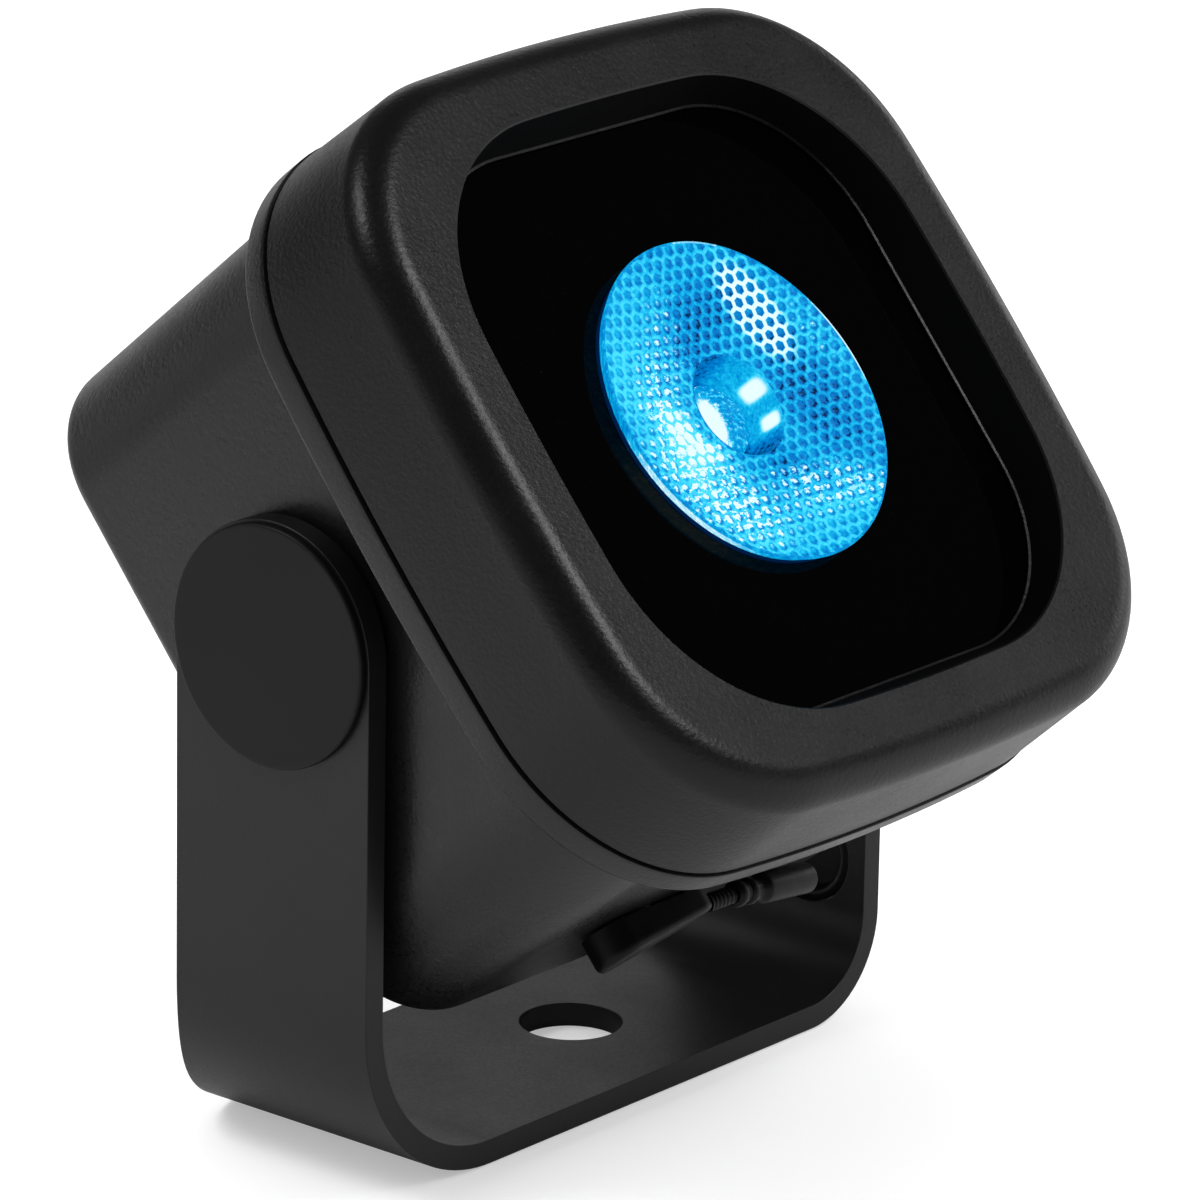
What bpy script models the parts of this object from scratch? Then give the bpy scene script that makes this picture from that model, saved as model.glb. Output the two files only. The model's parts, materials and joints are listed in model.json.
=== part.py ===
"""Small LED par light on a U-shaped tilting bracket.

Metres, +Z up, front towards -Y.  The origin is the middle of the bracket's
underside.  The lamp head is modelled in its own frame, with the tilt axis at
the origin, the front towards -Y and the top towards +Z, and hangs from the
empty "tilt_axis", which carries it at its resting tilt.
"""
from math import cos, pi, radians, sin

import bmesh
import bpy
from mathutils import Matrix, Vector

# ---------------------------------------------------------------- driving sizes
GAP = 0.0003                 # clearance between pieces that touch
SKIM = 0.0002                # clearance between pieces that only pass each other

# bracket
SHEET = 0.003
BRACKET_WIDTH = 0.095        # outside to outside
ARM_DEPTH = 0.0295           # front to back, also the arm's width
BASE_REAR = 0.0225           # the base reaches this far back, more than the arms
LEFT_BEND = 0.0222           # outer radius of each bend
RIGHT_BEND = 0.0125
PIVOT_HEIGHT = 0.0656
BASE_HOLE_RADIUS = 0.0063
BASE_HOLE_XY = (0.0108, 0.0036)
ARM_HOLE_RADIUS = 0.0065     # cable hole, low on the right arm
ARM_HOLE_YZ = (-0.0057, 0.0185)

# pivots, distances measured out from the middle
CAP_RADIUS = 0.0144
CAP_PROUD = 0.0010           # cap's outer face above the arm
CAP_EDGE = 0.00025
WASHER_RADIUS = 0.0090
WASHER_THICK = 0.0005
BOLT_RADIUS = 0.0025
BOLT_HEAD_RADIUS = 0.0046
BOLT_HEAD_DEPTH = 0.0020
BOLT_END = 0.0345
HEX_RADIUS = 0.0014
HEX_DEPTH = 0.0016
INSERT_RADIUS = 0.0046
INSERT_OUTER = 0.0412
BOSS_RADIUS = 0.0080
BOSS_INNER = 0.0340

TILT_DEG = 39.8              # head's resting tilt, front up

# stations along the head's optical axis, measured forward from the tilt axis
FACE = 0.0430                # flat front face of the cover
SEAM = 0.0245                # rear edge of the cover
FLANGE_FRONT = 0.0241
FLANGE_REAR = 0.0203
BACK = -0.0211               # flat back of the housing
WINDOW_FRONT = 0.0374
LENS_FRONT = 0.0393
LENS_REAR = 0.0155
LED_FACE = 0.0139            # front of the LED board
BOARD_REAR = -0.0130         # rear face of the driver board

# front cover
COVER_HALF = 0.0482          # half width of the cover
COVER_CORNER = 0.0246
COVER_BOW = 0.0008           # how far each side bows out
COVER_DRAFT = 0.0005         # growth of the half width from front to seam
COVER_WALL = 0.0032
FRONT_FILLET = 0.0044
OPENING_HALF = 0.0384
OPENING_CORNER = 0.0245
OPENING_BOW = 0.0003
OPENING_EDGE = 0.0005
RECESS_HALF = 0.0362         # the opening where it meets the window
RECESS_CORNER = 0.0199
SEAT_DEPTH = 0.0012          # the window's pocket in the cover
SEAT_WALL = 0.0018
GASKET_STEP = 0.0014         # step inside the cover's rear edge
GASKET_DEPTH = 0.0011
COVER_POST_RADIUS = 0.0035
COVER_POST_REAR = SEAM + 0.0004

# rear housing
FLANGE_HALF = 0.0490
FLANGE_CORNER = 0.0256
FLANGE_EDGE = 0.0006
BOX_HALF = 0.0431            # rear housing at its back
BOX_CORNER = 0.0145
BOX_DRAFT = 0.0006
BOX_WALL = 0.0026
BACK_FILLET = 0.0022
POST_RADIUS = 0.0040
INNER_BACK = BACK + BOX_WALL

# cover screws
SCREW_XY = 0.0353            # from the axis both ways
SCREW_RADIUS = 0.0015
SCREW_HEAD_RADIUS = 0.0028
SCREW_HEAD_HEIGHT = 0.0018
SCREW_HEAD_SEAT = BACK + 0.0028
SCREW_TIP = 0.0350

# window and lens
WINDOW_HALF = 0.0382
WINDOW_CORNER = 0.0218
WINDOW_THICK = 0.0020
LENS_RADIUS = 0.0206
LENS_RIM = 0.0039            # thickness of the lens rim
LENS_SHOULDER = 0.0010       # the rim stands out this much past the reflector
LENS_NECK = 0.0085           # radius at the lens rear
LENS_DISH = 0.0016           # the front dishes in by this much at the well
WELL_RADIUS = 0.0064         # blind well in the lens front
WELL_DEPTH = 0.0052
EMITTER_CAVITY = 0.0052
CAVITY_DEPTH = 0.0065
HOLDER_WALL = 0.0012
HOLDER_GAP = 0.0005

# LED board and heat sink
LED_BOARD_THICK = 0.0016
LED_BOARD_RADIUS = 0.0195
BOARD_SCREW_X = 0.0150
BOARD_SCREW_RADIUS = 0.0013
BOARD_SCREW_HEAD = 0.0024
SINK_FRONT = LED_FACE - LED_BOARD_THICK - GAP
SINK_BASE = 0.0040
SINK_HALF = 0.0300
FIN_COUNT = 9
FIN_THICK = 0.0018
FIN_REAR = -0.0035

# driver board and what stands on it, places as (x, up)
BOARD_HALF = 0.0300
BOARD_THICK = 0.0016
STANDOFF_XY = 0.0260
STANDOFF_RADIUS = 0.0025
CAPACITOR_AT = (0.018, 0.012)
CAPACITOR_RADIUS = 0.0040
CAPACITOR_LENGTH = 0.0070
INDUCTOR_AT = (-0.014, -0.010)
INDUCTOR_RADII = (0.0030, 0.0065)
INDUCTOR_LENGTH = 0.0055

# lead outlet under the housing; plan places are (x, forward)
UNDERSIDE = -0.0434          # bottom face of the housing near the lead
GLAND_START = (-0.0195, -0.0052)
GLAND_END = (-0.0012, -0.0031)
GLAND_HALF = (0.0038, 0.0029)        # half width at each end
GLAND_DEPTH = (0.0044, 0.0027)       # depth at each end
GLAND_EDGE = 0.0008
LEAD_HOLE = (-0.0130, -0.0045)
SPIGOT_RADIUS = 0.0034
SPIGOT_TOP = 0.0075
NUT_RADIUS = 0.0060
NUT_HEIGHT = 0.0025
NECK_START = (-0.0009, -0.0030, UNDERSIDE - 0.0020)
SOCKET_START = (0.0029, -0.0026, UNDERSIDE - 0.0022)
SOCKET_END = (0.0192, -0.0056, UNDERSIDE - 0.0030)
NECK_RADIUS = 0.0011
SOCKET_PROFILE = (           # (distance along, radius): ribs, shoulder, barrel, rim
    (0.0000, 0.0012), (0.0005, 0.0015), (0.0011, 0.0015), (0.0015, 0.0012),
    (0.0021, 0.0012), (0.0025, 0.0017), (0.0033, 0.0017), (0.0037, 0.0014),
    (0.0045, 0.0015), (0.0060, 0.0019), (0.0135, 0.0019), (0.0139, 0.0017),
)
MOUTH_RADIUS = 0.00115
MOUTH_DEPTH = 0.0060
CONTACT_RADIUS = 0.0008


# ---------------------------------------------------------------- materials
def material(name, color, roughness, metallic=0.0, emission=None):
    mat = bpy.data.materials.new(name)
    mat.use_nodes = True
    shader = mat.node_tree.nodes["Principled BSDF"]
    shader.inputs["Base Color"].default_value = (*color, 1.0)
    shader.inputs["Roughness"].default_value = roughness
    shader.inputs["Metallic"].default_value = metallic
    if emission:
        shader.inputs["Emission Color"].default_value = (*emission, 1.0)
        shader.inputs["Emission Strength"].default_value = 1.0
    return mat


def clear_scene():
    for old in list(bpy.data.objects):
        bpy.data.objects.remove(old, do_unlink=True)


# ---------------------------------------------------------------- outlines
def bowed_square(half, corner, bow=0.0, side_steps=3, corner_steps=7):
    """Closed outline of a square with round corners and slightly bowed sides."""
    flat = half - bow
    reach = flat - corner
    points = []
    for quarter in range(4):
        turn = Matrix.Rotation(quarter * pi / 2, 2)
        for i in range(side_steps):
            t = -1 + 2 * i / side_steps
            points.append(turn @ Vector((flat + bow * (1 - t * t), t * reach)))
        for i in range(corner_steps):
            a = i / corner_steps * pi / 2
            points.append(turn @ Vector((reach + corner * cos(a), reach + corner * sin(a))))
    return points


def circle(radius, steps):
    return [Vector((radius * cos(2 * pi * i / steps), radius * sin(2 * pi * i / steps)))
            for i in range(steps)]


def head_point(x, forward, up):
    """A point of the head's frame: x to the right, forward is -Y, up is +Z."""
    return Vector((x, -forward, up))


def station(outline, forward):
    """Stand an outline across the head's axis at a distance forward."""
    return [head_point(p.x, forward, p.y) for p in outline]


# ---------------------------------------------------------------- solids
def add_object(name, bm, mat, parent=None, smooth=35.0):
    bmesh.ops.recalc_face_normals(bm, faces=bm.faces)
    if bm.calc_volume(signed=True) < 0:
        bmesh.ops.reverse_faces(bm, faces=bm.faces)
    mesh = bpy.data.meshes.new(name)
    bm.to_mesh(mesh)
    bm.free()
    if mat:
        mesh.materials.append(mat)
    if smooth:
        mesh.shade_smooth()
        mesh.set_sharp_from_angle(angle=radians(smooth))
    obj = bpy.data.objects.new(name, mesh)
    bpy.context.scene.collection.objects.link(obj)
    obj.parent = parent
    return obj


def loft(loops, closed=False):
    """Skin a row of equal loops; a closed row makes a ring, an open one is capped."""
    bm = bmesh.new()
    rows = [[bm.verts.new(p) for p in loop] for loop in loops]
    count = len(rows[0])
    pairs = list(zip(rows, rows[1:]))
    if closed:
        pairs.append((rows[-1], rows[0]))
    for low, high in pairs:
        for i in range(count):
            j = (i + 1) % count
            bm.faces.new((low[i], low[j], high[j], high[i]))
    if not closed:
        bm.faces.new(rows[0][::-1])
        bm.faces.new(rows[-1])
    return bm


def turned(profile, steps, closed=False):
    """Solid of revolution about the head's axis from (radius, forward) pairs."""
    return loft([station(circle(r, steps), f) for r, f in profile], closed)


def turned_across(profile, steps, side, centre=Vector(), closed=False):
    """Solid of revolution about the tilt axis from (radius, distance out) pairs."""
    loops = [[centre + Vector((side * out, p.x, p.y)) for p in circle(r, steps)]
             for r, out in profile]
    return loft(loops, closed)


def cylinder_between(start, end, radius, steps=24, end_radius=None):
    """Capped cylinder or cone from start to end."""
    start, end = Vector(start), Vector(end)
    frame = (end - start).to_track_quat('Z', 'Y').to_matrix()
    radii = (radius, radius if end_radius is None else end_radius)
    loops = [[at + frame @ Vector((p.x, p.y, 0)) for p in circle(r, steps)]
             for at, r in zip((start, end), radii)]
    return loft(loops)


def along_axis(start, direction, profile, steps):
    """Solid of revolution from start along a direction, (distance, radius) pairs."""
    frame = direction.to_track_quat('Z', 'Y').to_matrix()
    loops = [[start + frame @ Vector((p.x, p.y, s)) for p in circle(r, steps)]
             for s, r in profile]
    return loft(loops)


def cutter(name, bm, parent=None):
    obj = add_object(name, bm, None, parent, smooth=0)
    obj.hide_render = True
    obj.display_type = 'WIRE'
    return obj


def boolean(target, tool, operation='DIFFERENCE'):
    mod = target.modifiers.new(tool.name, 'BOOLEAN')
    mod.operation = operation
    mod.solver = 'EXACT'
    mod.object = tool


# ---------------------------------------------------------------- bracket
def bend_stations(side, radius, steps=9):
    """Down one arm and round its bend: (outer point, inner point, rear edge)."""
    half = BRACKET_WIDTH / 2
    top = PIVOT_HEIGHT + ARM_DEPTH
    arm_rear = ARM_DEPTH / 2
    centre = half - radius
    inner_radius = radius - SHEET
    rows = [((side * half, top), (side * (half - SHEET), top), arm_rear)]
    for i in range(steps + 1):
        a = pi / 2 * i / steps
        flare = (1 - cos(2 * a)) / 2
        rows.append(((side * (centre + radius * cos(a)), radius * (1 - sin(a))),
                     (side * (centre + inner_radius * cos(a)), radius - inner_radius * sin(a)),
                     arm_rear + (BASE_REAR - arm_rear) * flare))
    return rows


def make_bracket(mat):
    front = -ARM_DEPTH / 2
    rows = bend_stations(-1, LEFT_BEND) + bend_stations(1, RIGHT_BEND)[::-1]
    loops = [[Vector((o[0], front, o[1])), Vector((i[0], front, i[1])),
              Vector((i[0], rear, i[1])), Vector((o[0], rear, o[1]))] for o, i, rear in rows]
    bracket = add_object("yoke_bracket", loft(loops), mat)

    # the arms end in half circles about the pivot
    radius = ARM_DEPTH / 2
    wide = ARM_DEPTH
    arch = [Vector((radius * cos(a), PIVOT_HEIGHT + radius * sin(a)))
            for a in (pi * i / 20 for i in range(21))]
    arch += [Vector((-wide, PIVOT_HEIGHT)), Vector((-wide, PIVOT_HEIGHT + 2 * wide)),
             Vector((wide, PIVOT_HEIGHT + 2 * wide)), Vector((wide, PIVOT_HEIGHT))]
    loops = [[Vector((x, p.x, p.y)) for p in arch] for x in (-BRACKET_WIDTH, BRACKET_WIDTH)]
    boolean(bracket, cutter("cut_arm_ends", loft(loops)))

    x, y = BASE_HOLE_XY
    hole = cylinder_between((x, y, -SHEET), (x, y, 2 * SHEET), BASE_HOLE_RADIUS, 40)
    boolean(bracket, cutter("cut_base_hole", hole))
    y, z = ARM_HOLE_YZ
    arm_out = BRACKET_WIDTH / 2
    hole = cylinder_between((arm_out - 3 * SHEET, y, z), (arm_out + SHEET, y, z),
                            ARM_HOLE_RADIUS, 36)
    boolean(bracket, cutter("cut_arm_hole", hole))

    # bolt holes, countersunk a little wider than the bolt's head
    slope = (BOLT_HEAD_RADIUS - BOLT_RADIUS) / BOLT_HEAD_DEPTH
    bore = BOLT_RADIUS + GAP
    over = 0.0001
    mouth = BOLT_HEAD_RADIUS + 2 * GAP + slope * over
    depth = (mouth - bore) / slope - over
    axis = Vector((0, 0, PIVOT_HEIGHT))
    for word, side in (("left", -1), ("right", 1)):
        way = turned_across([(bore, arm_out - 3 * SHEET), (bore, arm_out + SHEET)], 24, side, axis)
        sink = turned_across([(mouth, arm_out + over), (bore, arm_out - depth)], 24, side, axis)
        boolean(bracket, cutter(f"cut_bolt_{word}", way))
        boolean(bracket, cutter(f"cut_sink_{word}", sink))


def make_pivots(mats, head):
    """Caps and friction washers on the bracket, bolts and inserts on the head."""
    arm_out = BRACKET_WIDTH / 2
    arm_in = arm_out - SHEET
    bore = BOLT_RADIUS + GAP
    axis = Vector((0, 0, PIVOT_HEIGHT))
    for word, side in (("left", -1), ("right", 1)):
        cap = [(CAP_RADIUS, arm_out + SKIM), (CAP_RADIUS, arm_out + CAP_PROUD - CAP_EDGE),
               (CAP_RADIUS - CAP_EDGE, arm_out + CAP_PROUD)]
        add_object(f"pivot_cap_{word}", turned_across(cap, 48, side, axis), mats["cap"])

        low, high = arm_in - GAP - WASHER_THICK, arm_in - GAP
        washer = [(bore, low), (WASHER_RADIUS, low), (WASHER_RADIUS, high), (bore, high)]
        add_object(f"friction_washer_{word}", turned_across(washer, 32, side, axis, closed=True),
                   mats["rubber"])

        head_out = arm_out - GAP
        tip = 0.0004
        bolt = [(BOLT_RADIUS - tip, BOLT_END), (BOLT_RADIUS, BOLT_END + tip),
                (BOLT_RADIUS, head_out - BOLT_HEAD_DEPTH), (BOLT_HEAD_RADIUS, head_out),
                (HEX_RADIUS, head_out), (HEX_RADIUS * 0.95, head_out - HEX_DEPTH)]
        add_object(f"pivot_bolt_{word}", turned_across(bolt, 24, side), mats["steel"], head)

        inner = BOSS_INNER - SKIM
        insert = [(bore, inner), (INSERT_RADIUS, inner), (INSERT_RADIUS, INSERT_OUTER),
                  (bore, INSERT_OUTER)]
        add_object(f"pivot_insert_{word}", turned_across(insert, 24, side, closed=True),
                   mats["brass"], head)


# ---------------------------------------------------------------- rear housing
def housing_stations():
    """Outer skin from the back forward, then the inner skin back again."""
    rings = []
    for a in (0, pi / 6, pi / 3, pi / 2):
        inset = BACK_FILLET * (1 - sin(a))
        rings.append((BOX_HALF - inset, BOX_CORNER - inset, 0, BACK + BACK_FILLET * (1 - cos(a))))
    front_half = BOX_HALF + BOX_DRAFT
    front_corner = BOX_CORNER + BOX_DRAFT
    edge = FLANGE_EDGE
    rings += [
        (front_half, front_corner, 0, FLANGE_REAR),
        (FLANGE_HALF - edge, FLANGE_CORNER - edge, COVER_BOW, FLANGE_REAR),
        (FLANGE_HALF, FLANGE_CORNER, COVER_BOW, FLANGE_REAR + edge),
        (FLANGE_HALF, FLANGE_CORNER, COVER_BOW, FLANGE_FRONT - edge / 2),
        (FLANGE_HALF - edge / 2, FLANGE_CORNER - edge / 2, COVER_BOW, FLANGE_FRONT),
        (front_half - BOX_WALL, front_corner - BOX_WALL, 0, FLANGE_FRONT),
        (BOX_HALF - BOX_WALL, BOX_CORNER - BOX_WALL, 0, INNER_BACK),
    ]
    return [station(bowed_square(half, corner, bow), forward)
            for half, corner, bow, forward in rings]


def corner_places(reach):
    return [(x * reach, up * reach) for x, up in ((-1, 1), (1, 1), (1, -1), (-1, -1))]


def make_housing(mat, head):
    housing = add_object("rear_housing", loft(housing_stations()), mat, head)
    for n, (x, up) in enumerate(corner_places(SCREW_XY), 1):
        post = cylinder_between(head_point(x, INNER_BACK - BOX_WALL / 2, up),
                                head_point(x, FLANGE_FRONT - 3 * GAP, up), POST_RADIUS, 20)
        boolean(housing, cutter(f"post_{n}", post, head), 'UNION')
    for word, side in (("left", -1), ("right", 1)):
        boss = turned_across([(BOSS_RADIUS, BOSS_INNER), (BOSS_RADIUS, BOX_HALF - BOX_WALL / 2)],
                             28, side)
        boolean(housing, cutter(f"boss_{word}", boss, head), 'UNION')
    for n, (x, up) in enumerate(corner_places(SCREW_XY), 1):
        behind = BACK - BOX_WALL
        shank = cylinder_between(head_point(x, behind, up), head_point(x, SEAM + GAP, up),
                                 SCREW_RADIUS + GAP, 16)
        sink = cylinder_between(head_point(x, behind, up), head_point(x, SCREW_HEAD_SEAT, up),
                                SCREW_HEAD_RADIUS + GAP, 20)
        boolean(housing, cutter(f"cut_shank_{n}", shank, head))
        boolean(housing, cutter(f"cut_head_{n}", sink, head))
    inner = BOSS_INNER - BOX_WALL
    for word, side in (("left", -1), ("right", 1)):
        seat = turned_across([(INSERT_RADIUS + GAP, inner), (INSERT_RADIUS + GAP, INSERT_OUTER + GAP)],
                             24, side)
        way = turned_across([(BOLT_RADIUS + GAP, inner), (BOLT_RADIUS + GAP, BOX_HALF + BOX_WALL)],
                            24, side)
        boolean(housing, cutter(f"cut_seat_{word}", seat, head))
        boolean(housing, cutter(f"cut_bolt_way_{word}", way, head))
    way = cylinder_between(head_point(*LEAD_HOLE, UNDERSIDE + 2 * BOX_WALL),
                           head_point(*LEAD_HOLE, UNDERSIDE - BOX_WALL), SPIGOT_RADIUS + GAP)
    boolean(housing, cutter("cut_lead_hole", way, head))


# ---------------------------------------------------------------- front cover
def cover_stations():
    """Around the cover's wall: outer side, front, opening, window seat, inner side."""
    rear_half = COVER_HALF + COVER_DRAFT
    rear_corner = COVER_CORNER + COVER_DRAFT
    rings = [(rear_half - GAP, rear_corner - GAP, COVER_BOW, SEAM),
             (rear_half, rear_corner, COVER_BOW, SEAM + GAP)]
    for i in range(6):
        a = i / 5 * pi / 2
        inset = FRONT_FILLET * (1 - cos(a))
        rings.append((COVER_HALF - inset, COVER_CORNER - inset, COVER_BOW,
                      FACE - FRONT_FILLET * (1 - sin(a))))
    inner_half = COVER_HALF - COVER_WALL
    inner_corner = COVER_CORNER - COVER_WALL
    inner_front = FACE - COVER_WALL
    lip = WINDOW_FRONT + GAP
    pocket = WINDOW_HALF + GAP
    pocket_corner = WINDOW_CORNER + GAP
    step = rear_half - GASKET_STEP
    step_corner = rear_corner - GASKET_STEP
    rings += [
        (OPENING_HALF + OPENING_EDGE, OPENING_CORNER + OPENING_EDGE, OPENING_BOW, FACE),
        (OPENING_HALF, OPENING_CORNER, OPENING_BOW, FACE - OPENING_EDGE),
        (RECESS_HALF, RECESS_CORNER, 0, lip),
        (pocket, pocket_corner, 0, lip),
        (pocket, pocket_corner, 0, lip - SEAT_DEPTH),
        (pocket + SEAT_WALL, pocket_corner + SEAT_WALL, 0, lip - SEAT_DEPTH),
        (pocket + SEAT_WALL, pocket_corner + SEAT_WALL, 0, inner_front),
        (inner_half, inner_corner, COVER_BOW, inner_front),
        (inner_half, inner_corner, COVER_BOW, SEAM + GASKET_DEPTH),
        (step, step_corner, COVER_BOW, SEAM + GASKET_DEPTH),
        (step, step_corner, COVER_BOW, SEAM),
    ]
    return [station(bowed_square(half, corner, bow), forward)
            for half, corner, bow, forward in rings]


def make_cover(mat, head):
    cover = add_object("front_cover", loft(cover_stations(), closed=True), mat, head)
    for n, (x, up) in enumerate(corner_places(SCREW_XY), 1):
        post = cylinder_between(head_point(x, COVER_POST_REAR, up),
                                head_point(x, FACE - COVER_WALL / 2, up), COVER_POST_RADIUS, 20)
        boolean(cover, cutter(f"cover_post_{n}", post, head), 'UNION')
    for n, (x, up) in enumerate(corner_places(SCREW_XY), 1):
        pilot = cylinder_between(head_point(x, FLANGE_REAR, up),
                                 head_point(x, SCREW_TIP + 2 * GAP, up), SCREW_RADIUS + GAP, 16)
        boolean(cover, cutter(f"cut_pilot_{n}", pilot, head))


def make_cover_screws(mat, head):
    seat = SCREW_HEAD_SEAT - GAP
    rear = seat - SCREW_HEAD_HEIGHT
    edge = 0.0004
    profile = [(SCREW_RADIUS - edge, SCREW_TIP), (SCREW_RADIUS, SCREW_TIP - 2 * edge),
               (SCREW_RADIUS, seat), (SCREW_HEAD_RADIUS, seat), (SCREW_HEAD_RADIUS, rear + edge),
               (SCREW_HEAD_RADIUS - edge, rear), (0.0011, rear), (0.0010, rear + 0.0011)]
    for n, (x, up) in enumerate(corner_places(SCREW_XY), 1):
        screw = add_object(f"cover_screw_{n}", turned(profile, 16), mat, head)
        screw.location = (x, 0, up)


def make_gasket(mat, head):
    outer = COVER_HALF + COVER_DRAFT - GASKET_STEP - GAP
    inner = COVER_HALF - COVER_WALL + GAP
    shift = COVER_CORNER - COVER_HALF
    low, high = FLANGE_FRONT + GAP, SEAM + GASKET_DEPTH - GAP
    rings = [(outer, low), (outer, high), (inner, high), (inner, low)]
    loops = [station(bowed_square(h, h + shift, COVER_BOW), f) for h, f in rings]
    add_object("seam_gasket", loft(loops, closed=True), mat, head)


# ---------------------------------------------------------------- optics
def make_window(mat, head):
    outline = bowed_square(WINDOW_HALF, WINDOW_CORNER)
    rear = WINDOW_FRONT - WINDOW_THICK
    panel = add_object("window_panel", loft([station(outline, rear),
                                             station(outline, WINDOW_FRONT)]), mat, head)
    hole = cylinder_between(head_point(0, rear - WINDOW_THICK, 0),
                            head_point(0, WINDOW_FRONT + WINDOW_THICK, 0), LENS_RADIUS + GAP, 48)
    boolean(panel, cutter("cut_lens_hole", hole, head))


def lens_wall(forward):
    """Radius of the collimator's reflecting side at a distance forward."""
    t = (forward - LENS_REAR) / (LENS_FRONT - LENS_RIM - LENS_REAR)
    return LENS_NECK + (LENS_RADIUS - LENS_SHOULDER - LENS_NECK) * t ** 0.72


def make_lens(mat, head):
    rim = LENS_FRONT - LENS_RIM
    edge = 0.0003
    tip = 0.0004
    dome = LENS_REAR + CAVITY_DEPTH
    mouth = LENS_FRONT - LENS_DISH
    well = mouth - WELL_DEPTH
    profile = [(tip, dome + 0.0025), (EMITTER_CAVITY * 0.7, dome + 0.0017),
               (EMITTER_CAVITY, dome), (EMITTER_CAVITY, LENS_REAR)]
    profile += [(lens_wall(f), f) for f in (LENS_REAR + (rim - LENS_REAR) * i / 5 for i in range(6))]
    profile += [(LENS_RADIUS, rim), (LENS_RADIUS, LENS_FRONT - edge),
                (LENS_RADIUS - edge, LENS_FRONT), (WELL_RADIUS + tip, mouth),
                (WELL_RADIUS, mouth - tip), (WELL_RADIUS - 2 * edge, well),
                (WELL_RADIUS * 0.6, well + 0.0011), (tip, well + 0.0016)]
    add_object("collimator_lens", turned(profile, 44), mat, head)


def make_lens_holder(mat, head):
    low, high = LED_FACE + GAP, LENS_FRONT - LENS_RIM - GAP
    wall = [(lens_wall(f) + HOLDER_GAP, f)
            for f in (LENS_REAR + (high - LENS_REAR) * i / 4 for i in range(5))]
    inner = [(wall[0][0], low)] + wall
    outer = [(r + HOLDER_WALL, f) for r, f in inner]
    add_object("lens_holder", turned(inner + outer[::-1], 36, closed=True), mat, head)


def make_led(mats, head):
    face = LED_FACE + GAP
    package = [(0.0042, face), (0.0042, face + 0.0009), (0.0034, face + 0.0010),
               (0.0030, face + 0.0022), (0.0018, face + 0.0032), (0.0003, face + 0.0035)]
    add_object("led_emitter", turned(package, 24), mats["emitter"], head)
    board_rear = LED_FACE - LED_BOARD_THICK
    board = add_object("led_board", turned([(LED_BOARD_RADIUS, board_rear),
                                            (LED_BOARD_RADIUS, LED_FACE)], 40),
                       mats["white_board"], head)
    sink = make_heat_sink(mats["aluminium"], head)
    sink_rear = SINK_FRONT - SINK_BASE
    screw_profile = [(BOARD_SCREW_RADIUS, sink_rear + GAP), (BOARD_SCREW_RADIUS, face),
                     (BOARD_SCREW_HEAD, face), (BOARD_SCREW_HEAD, face + 0.0009),
                     (BOARD_SCREW_HEAD - 0.0005, face + 0.0013)]
    for n, x in enumerate((-BOARD_SCREW_X, BOARD_SCREW_X), 1):
        way = cylinder_between(head_point(x, sink_rear - SINK_BASE / 2, 0),
                               head_point(x, LED_FACE + SINK_BASE / 2, 0),
                               BOARD_SCREW_RADIUS + GAP, 16)
        tool = cutter(f"cut_board_screw_{n}", way, head)
        boolean(board, tool)
        boolean(sink, tool)
        screw = add_object(f"led_board_screw_{n}", turned(screw_profile, 16), mats["steel"], head)
        screw.location = (x, 0, 0)


def make_heat_sink(mat, head):
    """Finned block: a comb outline seen from above, as tall as it is wide."""
    rear = SINK_FRONT - SINK_BASE
    comb = [(-SINK_HALF, SINK_FRONT), (SINK_HALF, SINK_FRONT)]
    pitch = (2 * SINK_HALF - FIN_THICK) / (FIN_COUNT - 1)
    for i in reversed(range(FIN_COUNT)):
        left = -SINK_HALF + i * pitch
        right = left + FIN_THICK
        comb += [(right, rear), (right, FIN_REAR), (left, FIN_REAR), (left, rear)]
    # the outer fins run straight on from the block's sides
    comb = comb[:2] + comb[3:-1]
    loops = [[head_point(x, f, up) for x, f in comb] for up in (-SINK_HALF, SINK_HALF)]
    return add_object("heat_sink", loft(loops), mat, head, smooth=0)


# ---------------------------------------------------------------- electronics
def make_driver(mats, head):
    front = BOARD_REAR + BOARD_THICK
    outline = bowed_square(BOARD_HALF, 0.001, 0, 1, 2)
    add_object("driver_board", loft([station(outline, BOARD_REAR), station(outline, front)]),
               mats["green_board"], head)

    edge = 0.0004
    low, high = front + GAP, front + CAPACITOR_LENGTH
    can = [(CAPACITOR_RADIUS, low), (CAPACITOR_RADIUS, high - edge),
           (CAPACITOR_RADIUS - edge, high)]
    capacitor = add_object("driver_capacitor", turned(can, 20), mats["can"], head)
    capacitor.location = (CAPACITOR_AT[0], 0, CAPACITOR_AT[1])

    high = front + INDUCTOR_LENGTH
    inner, outer = INDUCTOR_RADII
    core = [(inner, low), (outer, low), (outer, high - edge), (outer - edge, high),
            (inner + edge, high), (inner, high - edge)]
    inductor = add_object("driver_inductor", turned(core, 24, closed=True), mats["copper"], head)
    inductor.location = (INDUCTOR_AT[0], 0, INDUCTOR_AT[1])

    post = [(STANDOFF_RADIUS, INNER_BACK + GAP), (STANDOFF_RADIUS, BOARD_REAR - GAP)]
    for n, (x, up) in enumerate(corner_places(STANDOFF_XY), 1):
        peg = add_object(f"board_standoff_{n}", turned(post, 16), mats["brass"], head)
        peg.location = (x, 0, up)


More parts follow.
